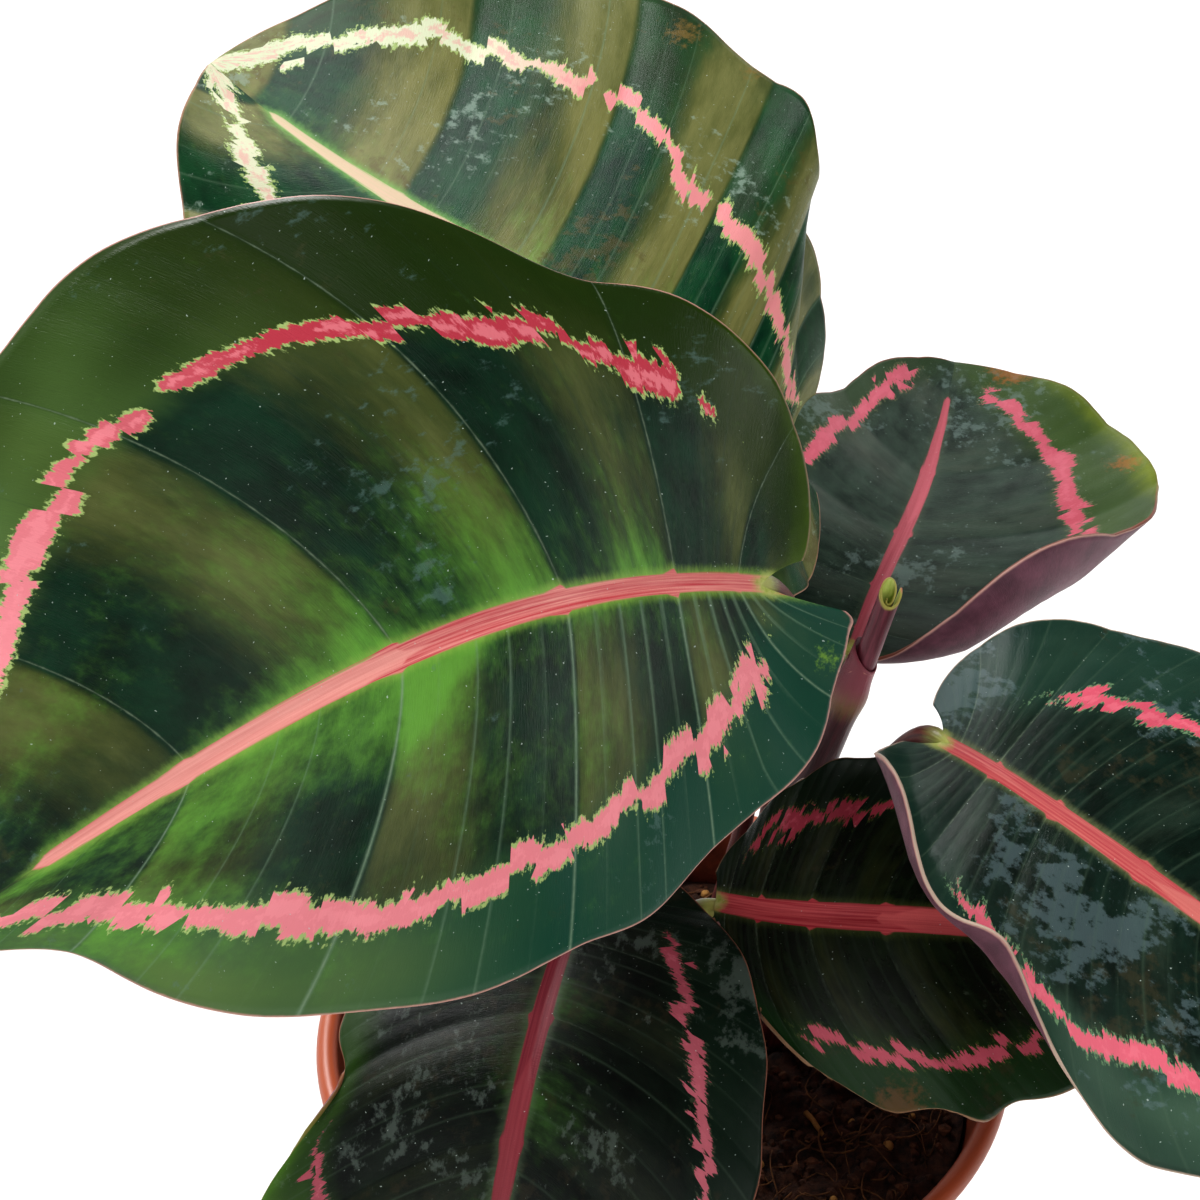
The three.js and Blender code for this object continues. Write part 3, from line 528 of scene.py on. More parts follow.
def leafSurface(name, leaf):
    # living leaf: a thin waxy skin over pigment, so satin with broad highlights and ragged painted edges
    washes = [
        # olive: partly the leaf's banding, partly painted light on the lit flank of each pleat
        wash("oliveLack", 0.5, 0.45, 0.7, (70, 7, 1), leaf["oliveTint"], detail=5.0),
        # painted highlight: pale gloss streaks over the most olive part of each pleat
        wash("oliveLack", 0.12, 0.4, 1.2, (60, 5, 1), leaf["paintedGlossTint"], cover=leaf["paintedGloss"], detail=4.0),
        wash("outerLeft", 1.5, 4, 5, (60, 6, 1), leaf["outerTint"][0], second=leaf["outerPaleTint"],
             secondField="outerPale", cover=leaf["outerCover"]),
        wash("outerRight", 1.5, 4, 5, (60, 6, 1), leaf["outerTint"][1], second=leaf["outerPaleTint"],
             secondField="outerPale", cover=leaf["outerCover"]),
        wash("haloLack", 0.4, 0.5, 1.0, (70, 12, 1), leaf["haloTint"], cover=0.85, detail=6.0),
        wash("stainLack", 0.36, 0.14, 1.9, (0.35, 0.4, 1), leaf["stainTint"], cover=0.5, detail=9.0,
             place="flatPlace"),
        wash("dustLack", 0.38, 0.12, 1.9, (0.4, 0.5, 1), leaf["dustTint"], cover=0.42, detail=10.0,
             place="flatPlace"),
        wash("veinGap", 0.1, 0.16, 0.1, (200, 40, 1), leaf["deep"][0], second="#7f9c80", secondField="veinPale",
             cover=leaf["veinCover"]),
        wash("mainVeinGap", 0.0, 0.14, 0.3, (160, 26, 1), "#8f9f86", cover=0.55),
        wash("ringEdge", 0.35, 0.35, 6.0, (190, 34, 1), leaf["ringEdgeTint"], cover=0.85, detail=6.0),
        wash("ringEdge", 0.0, 0.16, 1.3, (420, 60, 1), leaf["ringTint"], second=leaf["ringPale"],
             secondField="ringPale"),
        wash("ringEdge", -1.4, 0.5, 9.0, (60, 14, 1), leaf.get("ringMottle", leaf["ringPale"]), cover=0.5, detail=6.0),
        wash("ribGap", 0.45, 0.9, 1.3, (200, 24, 1), leaf["ribEdgeTint"], cover=leaf["ribEdgeCover"]),
        wash("ribGap", 0.0, 0.14, 0.9, (0.06, 3.2, 1), leaf["ribTint"], second=leaf["ribStreak"], detail=5.0,
             place="flatPlace"),
        wash("ribTipGap", -0.1, 0.2, 0.9, (0.06, 3.2, 1), leaf["ribStreak"], cover=0.6, detail=5.0,
             place="flatPlace"),
        wash("jointGap", 1.5, 0.7, 1.6, (1, 1, 1), "#96a04c", second="#c3c482", place="flatPlace"),
        wash("marginGap", 0.2, 0.18, 0.25, (80, 10, 1), leaf["marginTint"], cover=0.9),
        wash("everywhere", 0.235, 0.02, 1.0, (1.9, 1.9, 1), "#b9c8bf", cover=0.6, detail=1.0, place="flatPlace"),
        # painted light: a lighter green near the margin, standing for light shining through the leaf
        wash("paintedBacklitGap", 2.5, 4.5, 4.0, (40, 6, 1), leaf["paintedBacklitTint"], cover=0.85),
    ]
    if leaf["marks"]:
        washes.append(wash("markGap", -0.6, 1.6, 12.0, (0.9, 0.9, 1), leaf["markTint"], cover=0.55, detail=7.0,
                           place="flatPlace"))
    look = {"base": leaf["deep"], "mottle": (22, 5, 1), "roughness": leaf["roughness"], "gloss": leaf["gloss"],
            "fine": (900, 26, 1), "relief": 0.5, "depth": 0.1,
            "ring": {"step": 4.2, "stepGrain": (leaf["pleats"] * 7, 3, 1), "fray": 4.0, "frayGrain": (240, 12, 1)}}
    return layeredSurface(name, look, washes, "veinPlace")


def undersideSurface():
    # the unpainted side: purple with a fine velvet of raised veinlets, less glossy than the upper side
    washes = [
        wash("veinGap", 0.12, 0.2, 0.1, (200, 40, 1), "#7d4c5c", cover=0.15),
        wash("ribGap", 0.0, 0.5, 0.5, (200, 30, 1), "#7c3b47"),
        wash("marginGap", 0.3, 0.2, 0.2, (80, 10, 1), "#b98f84"),
    ]
    look = {"base": ["#4c2434", "#693a4b"], "mottle": (30, 7, 1), "roughness": 0.5, "sheen": 0.1,
            "fine": (1100, 40, 1), "relief": 0.6, "depth": 0.12}
    return layeredSurface("leafUndersidePurple", look, washes, "veinPlace")


bladeFields = [
    "fromRing", "ringHalf", "ringPale", "ribGap", "outerLeft", "outerRight", "outerPale", "haloLack", "oliveLack",
    "veinPale", "markGap", "marginGap", "paintedBacklitGap", "veinGap", "mainVeinGap", "ribTipGap", "jointGap", "dustLack",
    "stainLack",
]


def growBlade(number, leaf, underside):
    leaf["bend"] = Bend(leaf["rib"])
    leaf["length"] = leaf["bend"].length
    leaf["faceStart"], leaf["faceEnd"] = [Vector(f).normalized() for f in leaf["face"]]
    leaf["seed"] = 10.0 * int(number)
    bm = bmesh.new()
    rows = round(leaf["pleats"] * bladeMesh["rowsPerPleat"])
    bmesh.ops.create_grid(bm, x_segments=2 * bladeMesh["columns"], y_segments=rows, size=1)
    veinPlace = bm.verts.layers.float_vector.new("veinPlace")
    flatPlace = bm.verts.layers.float_vector.new("flatPlace")
    layers = numberLayers(bm, bladeFields)
    for vert in bm.verts:
        side = 0 if vert.co.x < 0 else 1
        w = bladeMesh["sinus"] + (1 - bladeMesh["sinus"]) * clamp((vert.co.y + 1) / 2)
        r = abs(vert.co.x) ** bladeMesh["crowding"]
        vert.co, along, across = bladeSpot(leaf, side, w, r)
        vert[veinPlace] = (w, r, leaf["seed"] + 3 * side)
        flat = Vector((along, across * (1 if side else -1), leaf["seed"]))
        vert[flatPlace] = flat
        found = paintFields(leaf, side, w, r, along, across)
        found["dustLack"] = patchLack(leaf["dust"], flat, painting["patchSizes"], 0.6)
        found["stainLack"] = patchLack(leaf["stain"], flat, painting["stainSizes"], 0.5, 5)
        for name, layer in zip(bladeFields, layers):
            vert[layer] = found[name]
    bmesh.ops.recalc_face_normals(bm, faces=bm.faces)
    facing = sum((f.normal for f in bm.faces), Vector())
    if facing.dot(leaf["faceStart"]) < 0:
        bmesh.ops.reverse_faces(bm, faces=bm.faces)
    upper = leafSurface(f"leafUpper{number}", leaf)
    piece = finishPiece(bm, f"leafBlade{number}", f"blade_{number}", [upper, underside])
    # the flesh under the skin: thickest along the midrib
    thick = bladeMesh["thickness"]
    most = thick + bladeMesh["ribDepth"]
    group = piece.vertex_groups.new(name="flesh")
    for k, spot in enumerate(piece.data.attributes["veinPlace"].data):
        w, r, seed = spot.vector
        along, across = flatSpot(leaf, 1 if seed > leaf["seed"] + 1 else 0, w, r)
        taper = 1 - bladeMesh["ribTaper"] * clamp(along / leaf["length"])
        keel = bump(across, 0, bladeMesh["ribWidth"] * (0.5 + 0.5 * taper)) * clamp(1.3 - 2.6 * r)
        depth = thick + bladeMesh["ribDepth"] * taper * keel
        group.add([k], depth / most, "REPLACE")
    flesh = piece.modifiers.new("flesh", "SOLIDIFY")
    flesh.thickness = most * mm
    flesh.offset = -1
    flesh.vertex_group = "flesh"
    flesh.material_offset = 1
    flesh.material_offset_rim = 0


underside = undersideSurface()
for number, leaf in leaves.items():
    growBlade(number, leaf, underside)
    print("leaf blade", number, "grown")


stemFields = ["share", "around", "fromTop"]


def sweepRound(bm, bend, radiusAt, sides, steps, fields):
    # a ring drawn along a curve: each step extrudes the last ring and moves it on
    across = bend.heading(0).orthogonal().normalized()
    shareField, aroundField, topField = fields
    frames = []
    for k in range(steps + 1):
        share = k / steps
        heading = bend.heading(share)
        across = (across - heading * across.dot(heading)).normalized()
        side = heading.cross(across)
        turn = Matrix((across, side, heading)).transposed().to_4x4()
        frames.append(Matrix.Translation(bend.spot(share)) @ turn @ Matrix.Scale(radiusAt(share), 4))
    ring = bmesh.ops.create_circle(bm, segments=sides, radius=1)["verts"]
    angles = [atan2(v.co.y, v.co.x) for v in ring]
    bmesh.ops.transform(bm, matrix=frames[0], verts=ring)
    edges = firstEdges = [e for e in bm.edges if e.verts[0] in ring and e.verts[1] in ring]
    for v, angle in zip(ring, angles):
        v[shareField], v[aroundField], v[topField] = 0.0, angle, bend.length
    for k in range(1, steps + 1):
        made = bmesh.ops.extrude_edge_only(bm, edges=edges)
        ring = [g for g in made["geom"] if isinstance(g, bmesh.types.BMVert)]
        edges = [g for g in made["geom"] if isinstance(g, bmesh.types.BMEdge)
                 and g.verts[0] in ring and g.verts[1] in ring]
        bmesh.ops.transform(bm, matrix=frames[k] @ frames[k - 1].inverted(), verts=ring)
        for v in ring:
            v[shareField] = k / steps
            v[topField] = (1 - k / steps) * bend.length
    for end in (firstEdges, edges):
        bmesh.ops.contextual_create(bm, geom=end)
    return ring


stalks = {
    "soilTop": 81, "footDepth": 14,
    "overlap": 3, "sink": 1.55,    # how far the stalk runs on under the midrib, and how deep
    "sheathRadius": 2.3, "radius": 1.2, "sheathEnd": 0.45,
    "jointRadius": 1.6, "jointPlace": 5, "jointWidth": 3.6,    # the swollen joint, from the stalk's top
    "tipNarrowing": 0.5, "tipWidth": 2.2,
    "edgeFrom": 0.6, "edgeTurn": 2.2,      # where round the stalk its sheath's free edge starts, and how far it winds
    "sides": 20, "steps": 70,
    "greenJoint": {"1": 6, "2": 7, "3": 3, "4": 4, "5": 5, "6": 6},   # how much of the top is yellow-green
    "feet": {"1": [7, 0.5], "2": [-1, 13], "3": [7, 16.5], "4": [14, 9], "5": [0, 1.5], "6": [-3, 6.5]},
    "elbows": {
        "1": [[9, 6, 118], [27, -2, 181]], "2": [[12, 14, 108], [22, 16, 170]],
        "3": [[14, 18, 104], [24, 14, 136]], "4": [[24, 10, 110], [30, 5, 158]],
        "5": [[-1, 0, 100], [-5, -9, 127]], "6": [[-7, 6, 100], [-7, 2, 132]],
    },
}


def stalkSurface():
    # leaf stalk: maroon skin with fine ribs along it, and a yellow-green swollen joint under the blade
    washes = [
        wash("jointGap", 0.0, 2.0, 3, (0.5, 4, 1), "#8f9552"),
        wash("jointGap", -1.6, 1.2, 1, (0.5, 4, 1), "#b4b763"),
        wash("sheathGap", 0.0, 0.35, 0.3, (1, 4, 1), "#a5705f"),
    ]
    look = {"base": ["#43171a", "#6e3029"], "mottle": (0.06, 2, 1), "roughness": 0.35,
            "fine": (0.3, 9, 1), "relief": 0.5, "depth": 0.15}
    return layeredSurface("stalkMaroon", look, washes, "stemPlace")


def growStalk(number, leaf, surface):
    heading = leaf["bend"].heading(0)
    normal = (leaf["faceStart"] - heading * leaf["faceStart"].dot(heading)).normalized()
    top = Vector(leaf["rib"][0]) + heading * stalks["overlap"] - normal * stalks["sink"]
    foot = [*stalks["feet"][number], stalks["soilTop"] - stalks["footDepth"]]
    bend = Bend([foot, *stalks["elbows"][number], top])

    def radiusAt(share):
        fromTop = (1 - share) * bend.length
        sheath = (stalks["sheathRadius"] - stalks["radius"]) * clamp(1 - share / stalks["sheathEnd"]) ** 0.7
        joint = (stalks["jointRadius"] - stalks["radius"]) * bump(fromTop, stalks["jointPlace"], stalks["jointWidth"])
        return stalks["radius"] + sheath + joint - stalks["tipNarrowing"] * bump(fromTop, 0, stalks["tipWidth"])

    bm = bmesh.new()
    place = bm.verts.layers.float_vector.new("stemPlace")
    fields = numberLayers(bm, stemFields)
    sheathGap, jointGap = numberLayers(bm, ["sheathGap", "jointGap"])
    sweepRound(bm, bend, radiusAt, stalks["sides"], stalks["steps"], fields)
    for v in bm.verts:
        share, around, fromTop = [v[f] for f in fields]
        v[place] = (share * bend.length, sin(around) * 2, cos(around) * 2)
        v[jointGap] = fromTop - stalks["greenJoint"][number]
        # the sheath's free edge runs up one side and slants over the stalk at its top
        edge = stalks["edgeFrom"] + stalks["edgeTurn"] * clamp(share * 6 - 2)
        v[sheathGap] = abs(around - edge) * 2.2 - 0.15 if share < 0.5 else 5.0
    bmesh.ops.recalc_face_normals(bm, faces=bm.faces)
    finishPiece(bm, f"stalk{number}", f"petiole_{number}", [surface])


stalkMaroon = stalkSurface()
for number, leaf in leaves.items():
    growStalk(number, leaf, stalkMaroon)
print("stalks grown")

# the sheath, and the leaf still rolled up in it
shoot = {
    "curve": [[6, 8, 67], [8, 8, 98], [20, 8, 132], [28.4, 8, 160]],
    "footRadius": 5.2, "topRadius": 2.2, "sides": 28, "steps": 80,
    "knuckle": 0.45, "knucklePlace": 0.905, "knuckleWidth": 0.03,
    "mouthWall": 0.16, "socketDepth": 6,       # the roll stands in a socket, so the mouth is an edge and not a lid
    "mouthSlant": 3.6, "mouthLength": 0.1, "mouthFaces": (0.85, -0.5, 0),   # cut on the slant, highest at the back
    "rollCurve": [[26, 8, 151], [27.5, 8, 156], [29, 8, 163], [31, 8, 171]],
    "rollCells": (72, 48), "rollRadius": 1.85, "lipRadius": 1.75, "coreRadius": 0.45, "turns": 1.45,
    "firstTurn": 2.4, "sheet": 0.32, "lipSlant": 3.2, "lipFaces": 3.4, "flap": 0.35,
}


def sheathSurface():
    # the sheath of the youngest leaf: dark maroon, olive at its knuckle, with a pale free edge
    washes = [
        wash("knuckleGap", 1.8, 2.2, 2, (0.5, 3, 1), "#74713a"),
        wash("tintGap", 2.0, 4, 4, (0.3, 2, 1), "#8a3f4c", cover=0.8),
        wash("edgeGap", 0.1, 0.2, 0.2, (1, 4, 1), "#c98d7d"),
    ]
    look = {"base": ["#35161c", "#54242c"], "mottle": (0.05, 1.6, 1), "roughness": 0.36,
            "fine": (0.25, 8, 1), "relief": 0.55, "depth": 0.2}
    return layeredSurface("sheathMaroon", look, washes, "stemPlace")


def rollSurface():
    # the rolled blade: its purple underside faces out, and the pale inside shows at the open tip
    washes = [
        wash("lipGap", 0.9, 0.5, 0.8, (0.6, 2, 1), "#a8a150"),
        wash("edgeGap", 0.25, 0.2, 0.2, (1, 4, 1), "#c98a6a"),
    ]
    look = {"base": ["#52202c", "#7c3a48"], "mottle": (0.12, 2.2, 1), "roughness": 0.42,
            "fine": (0.3, 10, 1), "relief": 0.5, "depth": 0.12}
    return layeredSurface("rolledLeafMaroon", look, washes, "stemPlace")


def growSheath():
    bend = Bend(shoot["curve"])

    def radiusAt(share):
        knuckle = shoot["knuckle"] * bump(share, shoot["knucklePlace"], shoot["knuckleWidth"])
        flare = (shoot["footRadius"] - shoot["topRadius"]) * (1 - share) ** 1.2
        return shoot["topRadius"] + flare + knuckle

    bm = bmesh.new()
    place = bm.verts.layers.float_vector.new("stemPlace")
    fields = numberLayers(bm, stemFields)
    knuckleGap, tintGap, edgeGap = numberLayers(bm, ["knuckleGap", "tintGap", "edgeGap"])
    ring = sweepRound(bm, bend, radiusAt, shoot["sides"], shoot["steps"], fields)
    lid = [f for f in bm.faces if all(v in ring for v in f.verts)]
    bmesh.ops.inset_region(bm, faces=lid, thickness=shoot["mouthWall"], depth=0.05)
    bmesh.ops.inset_region(bm, faces=lid, thickness=0.02, depth=-shoot["socketDepth"])
    for v in bm.verts:
        share, around, fromTop = [v[f] for f in fields]
        v[place] = (share * bend.length, sin(around) * 3, cos(around) * 3)
        v[knuckleGap] = abs(share - shoot["knucklePlace"]) * bend.length
        v[tintGap] = fromTop - 8
        slant = 5 + 4 * cos(around - 1.2)
        v[edgeGap] = abs(fromTop - slant) if share > 0.5 else abs(around + 0.9) * 3
    up, cut = bend.heading(1), shoot["mouthLength"]
    for v in bm.verts:
        share = v[fields[0]]
        if share > 1 - cut:
            lean = (v.co - bend.spot(share)).dot(Vector(shoot["mouthFaces"])) / shoot["topRadius"]
            v.co -= up * shoot["mouthSlant"] * (0.5 + 0.5 * lean) * ((share - (1 - cut)) / cut) ** 2
    bmesh.ops.recalc_face_normals(bm, faces=bm.faces)
    finishPiece(bm, "shootSheath", "shoot_sheath", [sheathSurface()])


def growRoll():
    bend = Bend(shoot["rollCurve"])
    bm = bmesh.new()
    place = bm.verts.layers.float_vector.new("stemPlace")
    lipGap, edgeGap = numberLayers(bm, ["lipGap", "edgeGap"])
    roundCells, alongCells = shoot["rollCells"]
    bmesh.ops.create_grid(bm, x_segments=roundCells, y_segments=alongCells, size=1)
    across = Vector((0, 1, 0))
    for v in bm.verts:
        roundShare, along = (v.co.x + 1) / 2, (v.co.y + 1) / 2
        angle = 2 * pi * shoot["turns"] * roundShare + shoot["firstTurn"]
        cut = shoot["lipSlant"] * (0.5 + 0.5 * cos(angle - shoot["lipFaces"])) * along ** 4
        share = clamp(along - cut / bend.length)
        heading = bend.heading(share)
        side = (across - heading * across.dot(heading)).normalized()
        other = heading.cross(side)
        outer = shoot["rollRadius"] + (shoot["lipRadius"] - shoot["rollRadius"]) * share ** 3
        radius = shoot["coreRadius"] + (outer - shoot["coreRadius"]) * roundShare ** 0.6
        flap = shoot["flap"] * bump(roundShare, 1, 0.1) * share ** 6
        v.co = bend.spot(share) + (side * cos(angle) + other * sin(angle)) * (radius + flap)
        v[place] = (share * bend.length, angle, radius)
        v[lipGap] = (1 - along) * bend.length
        v[edgeGap] = (1 - roundShare) * 9
    bmesh.ops.recalc_face_normals(bm, faces=bm.faces)
    middle = list(bm.faces)[len(bm.faces) // 2]
    if middle.normal.dot(middle.calc_center_median() - bend.spot(0.5)) < 0:
        bmesh.ops.reverse_faces(bm, faces=bm.faces)
    inside = layeredSurface("rolledLeafInside", {
        "base": ["#a9bb58", "#c6cf78"], "mottle": (0.3, 2, 1), "roughness": 0.45,
        "fine": (0.3, 10, 1), "relief": 0.3, "depth": 0.1}, [], "stemPlace")
    piece = finishPiece(bm, "rolledLeaf", "rolled_leaf", [rollSurface(), inside])
    sheet = piece.modifiers.new("sheet", "SOLIDIFY")
    sheet.thickness = shoot["sheet"] * mm
    sheet.offset = -1
    sheet.material_offset = 1


growSheath()
growRoll()
print("sheath and rolled leaf grown")

pot = {
    "height": 92, "rimRadius": 52.5, "baseRadius": 35, "wall": 1.2, "lip": 1.7, "footRing": 2,
    "footWidth": 4, "footEdge": 0.6, "middle": 13,
    "drainHoles": 8, "drainRadius": 3.5, "drainCircle": 24, "drainSides": 32,
    "segments": 144, "outerRings": (8, 20, 35, 50, 65, 78), "innerRings": (65, 40, 15),
    "splashHeight": 12, "splashUnderLip": 7,
}
wallTop = pot["height"] - 2 * pot["lip"]
wallTopRadius = pot["rimRadius"] - 1.9 * pot["lip"]


def potRadiusAt(height):
    return pot["baseRadius"] + (wallTopRadius - pot["baseRadius"]) * height / wallTop


def potSurface():
    # moulded polypropylene in a terracotta brown: dull satin and faint flow marks, with a painted lit edge on the lip,
    # painted shade inside, and darker near the foot and under the lip
    washes = [
        # painted light: the top and outer edge of the lip a little lighter, as its lit edge
        wash("lipGap", 0.5, 0.8, 1.0, (0.05, 0.05, 0.3), "#a9532f"),
        # painted shade inside the pot and on the inner half of the lip
        wash("insideShadeLack", 0.5, 0.25, 0.5, (0.35, 0.35, 0.35), "#3d1d13", cover=0.9),
        wash("scuffLack", 0.3, 0.06, 1.6, (0.5, 0.5, 1.6), "#bd7f63", cover=0.22, detail=8.0),
        # darker near the foot and in a band under the lip
        wash("footAndLipDarkLack", 0.42, 0.12, 1.2, (0.6, 0.6, 0.6), "#5b3323", cover=0.35, detail=7.0),
    ]
    look = {"base": ["#9d4f34", "#a25237"], "mottle": (0.05, 0.05, 0.12), "roughness": 0.4, "ior": 1.49,
            "fine": (0.25, 0.25, 5.0), "relief": 0.3, "depth": 0.12}
    return layeredSurface("potPolypropylene", look, washes, "potPlace")


def throwPot():
    # the section of the wall, drawn from the middle of the base up the outside, over the lip and down to the floor
    floorHeight = pot["footRing"] + pot["wall"]
    base, edge, foot = pot["baseRadius"], pot["footEdge"], pot["footWidth"]
    outline = [(0, 0), (pot["middle"], 0), (pot["middle"] + 1, pot["footRing"]), (base - foot - 1, pot["footRing"]),
               (base - foot, 0), (base - edge, 0), (base - 0.2, 0.15), (base, edge)]
    outline += [(potRadiusAt(h), h) for h in pot["outerRings"]]
    outline.append((wallTopRadius, wallTop))
    for turn in range(-80, 181, 13):
        out = pot["rimRadius"] - pot["lip"] + pot["lip"] * cos(radians(turn))
        outline.append((out, pot["height"] - pot["lip"] + pot["lip"] * sin(radians(turn))))
    outline.append((wallTopRadius - pot["wall"], wallTop - 2))
    outline += [(potRadiusAt(h) - pot["wall"], h) for h in pot["innerRings"]]
    outline += [(base - pot["wall"], floorHeight + 3), (base - pot["wall"] - 1, floorHeight + 0.8),
                (base - pot["wall"] - 3, floorHeight), (0, floorHeight)]
    bm = bmesh.new()
    verts = [bm.verts.new((x, 0, z)) for x, z in outline]
    edges = [bm.edges.new(pair) for pair in zip(verts, verts[1:])]
    bmesh.ops.spin(bm, geom=verts + edges, cent=(0, 0, 0), axis=(0, 0, 1), angle=2 * pi,
                   steps=pot["segments"], use_merge=True)
    bmesh.ops.remove_doubles(bm, verts=bm.verts, dist=0.001)
    bmesh.ops.recalc_face_normals(bm, faces=bm.faces)
    keepPlace(bm, "potPlace")
    lipGap, insideShadeLack, scuffLack, footAndLipDarkLack = numberLayers(bm, ["lipGap", "insideShadeLack", "scuffLack", "footAndLipDarkLack"])
    for v in bm.verts:
        v[lipGap] = max(pot["height"] - v.co.z, 4 * (wallTopRadius + 0.8 - hypot(v.co.x, v.co.y)))
        # painted shade: inside, and on the inner half of the lip, the wall is darkened where it stands in shade
        inside = hypot(v.co.x, v.co.y) - min(potRadiusAt(v.co.z) - 0.5 * pot["wall"], wallTopRadius + 2.1)
        v[insideShadeLack] = clamp(0.6 + 0.35 * inside, 0.1, 1.0)
        v[scuffLack] = 0.62 + 0.3 * noise.noise(v.co * 0.06)
        # darker near the foot and in a band under the lip
        underLip = bump(v.co.z, pot["height"] - pot["splashUnderLip"], pot["splashUnderLip"])
        v[footAndLipDarkLack] = 1.05 - 0.35 * bump(v.co.z, 0, pot["splashHeight"]) - 0.4 * underLip
    drillPot(finishPiece(bm, "nurseryPot", "pot", [potSurface()]))


def drillPot(piece):
    cutter = bmesh.new()
    for k in range(pot["drainHoles"]):
        turn = 2 * pi * k / pot["drainHoles"]
        spot = Matrix.Translation((pot["drainCircle"] * cos(turn), pot["drainCircle"] * sin(turn), 2))
        bmesh.ops.create_cone(cutter, cap_ends=True, segments=pot["drainSides"], radius1=pot["drainRadius"],
                              radius2=pot["drainRadius"], depth=8, matrix=spot)
    cutterPiece = placeMesh(cutter, "drainCutter")
    drains = piece.modifiers.new("drains", "BOOLEAN")
    drains.operation = "DIFFERENCE"
    drains.object = cutterPiece
    drains.solver = "EXACT"
    bpy.context.view_layer.update()
    cut = bpy.data.meshes.new_from_object(piece.evaluated_get(bpy.context.evaluated_depsgraph_get()))
    piece.modifiers.clear()
    piece.data = cut
    bpy.data.objects.remove(cutterPiece)


throwPot()
print("pot turned")

mix = {
    "top": 81, "cells": 110, "seed": 7,
    "clumps": 1.3, "lumps": [(0.35, 0.9), (0.9, 0.7), (2.1, 0.35)],     # lumps: how fine, and how high in mm
    "sideRings": (60, 30),
    "crumbs": 1500, "crumbRadius": (0.45, 1.1), "crumbRough": (1.3, 0.25),
    "fibres": 420, "fibreLength": (3, 8), "fibreTurn": 1.1, "fibreRadius": (0.08, 0.17),
    "grains": 46, "grainRadius": (0.4, 0.95), "grainRough": (2.3, 0.12),
    "sticks": 5, "stickLength": (4, 9), "stickRadius": (0.45, 0.15),
}


def mixEdge(gap, height=mix["top"]):
    # how far out the mix reaches, with a gap to the pot's wall
    return potRadiusAt(height) - pot["wall"] - gap


def crumbHeight(x, y):
    coarse = sin(0.42 * x + 1.3) * cos(0.37 * y - 0.6)
    middle = sin(0.9 * x - 0.5 * y) * cos(0.8 * y + 0.4 * x + 1)
    return mix["clumps"] * (0.6 * coarse + 0.5 * middle)


def mixTop(x, y):
    fade = clamp((mixEdge(0.3) - hypot(x, y)) / 4)
    spot = Vector((x, y, 3.0))
    rough = 0.0
    for fine, high in mix["lumps"]:
        rough += high * noise.noise(spot * fine)
    return mix["top"] - 0.8 + fade * (0.8 + crumbHeight(x, y) + rough)


def mixSurface(name, base, relief):
    # moist coir and peat: dull, nearly black in the hollows, lighter where a crumb has dried
    look = {"base": base, "mottle": (0.5, 0.5, 0.5), "roughness": 0.92, "fine": (3.0, 3.0, 3.0),
            "relief": relief, "depth": 0.5}
    return layeredSurface(name, look, [], "mixPlace")


def fillPot():
    edge = mixEdge(0.6)
    floorHeight = pot["footRing"] + pot["wall"] + 0.3
    bm = bmesh.new()
    bmesh.ops.create_grid(bm, x_segments=mix["cells"], y_segments=mix["cells"], size=1)
    for v in bm.verts:
        x, y = v.co.x, v.co.y
        # the square grid is pressed into a disc
        v.co.x = edge * x * sqrt(1 - y * y / 2)
        v.co.y = edge * y * sqrt(1 - x * x / 2)
    for v in bm.verts:
        v.co.z = mixTop(v.co.x, v.co.y)
    side = [e for e in bm.edges if e.is_boundary]
    for height in (*mix["sideRings"], floorHeight + 3, floorHeight):
        made = bmesh.ops.extrude_edge_only(bm, edges=side)
        lower = [g for g in made["geom"] if isinstance(g, bmesh.types.BMVert)]
        side = [e for e in bm.edges if e.is_boundary]
        inset = 3.3 if height == floorHeight else 0.3
        for v in lower:
            spread = mixEdge(inset, height) / hypot(v.co.x, v.co.y)
            v.co.x, v.co.y, v.co.z = v.co.x * spread, v.co.y * spread, height
    bmesh.ops.contextual_create(bm, geom=side)
    bmesh.ops.recalc_face_normals(bm, faces=bm.faces)
    keepPlace(bm, "mixPlace")
    finishPiece(bm, "pottingMix", "soil", [mixSurface("coirMix", ["#1d110c", "#523220"], 0.9)])


def randomSpot(draw, edge):
    out, turn = edge * sqrt(draw.random()), 2 * pi * draw.random()
    return out * cos(turn), out * sin(turn)


def overMix(x, y, edge, lift):
    # a point over the mix, drawn in where it lies past the edge
    shrink = min(1, edge / max(hypot(x, y), 0.01))
    x, y = x * shrink, y * shrink
    return Vector((x, y, mixTop(x, y) + lift))


def roughen(bm, fine, high):
    for v in bm.verts:
        v.co += high * noise.noise_vector(v.co * fine)


def scatterCrumbs(draw):
    edge = mixEdge(2.2)
    smallest, more = mix["crumbRadius"]
    bm = bmesh.new()
    for k in range(mix["crumbs"]):
        x, y = randomSpot(draw, edge)
        size = smallest + more * draw.random() ** 2.5
        squash = Matrix.Diagonal((1, 0.6 + 0.4 * draw.random(), 0.5 + 0.4 * draw.random(), 1))
        tilt = Matrix.Rotation(2 * pi * draw.random(), 4, Vector((draw.random() - 0.5, draw.random() - 0.5, 0.4)))
        spot = Matrix.Translation(overMix(x, y, edge, 0.15 * size))
        bmesh.ops.create_icosphere(bm, subdivisions=1, radius=size, matrix=spot @ tilt @ squash)
    roughen(bm, *mix["crumbRough"])
    keepPlace(bm, "mixPlace")
    finishPiece(bm, "mixCrumbs", "", [mixSurface("coirCrumb", ["#281811", "#664028"], 0.8)],
                smooth=False)


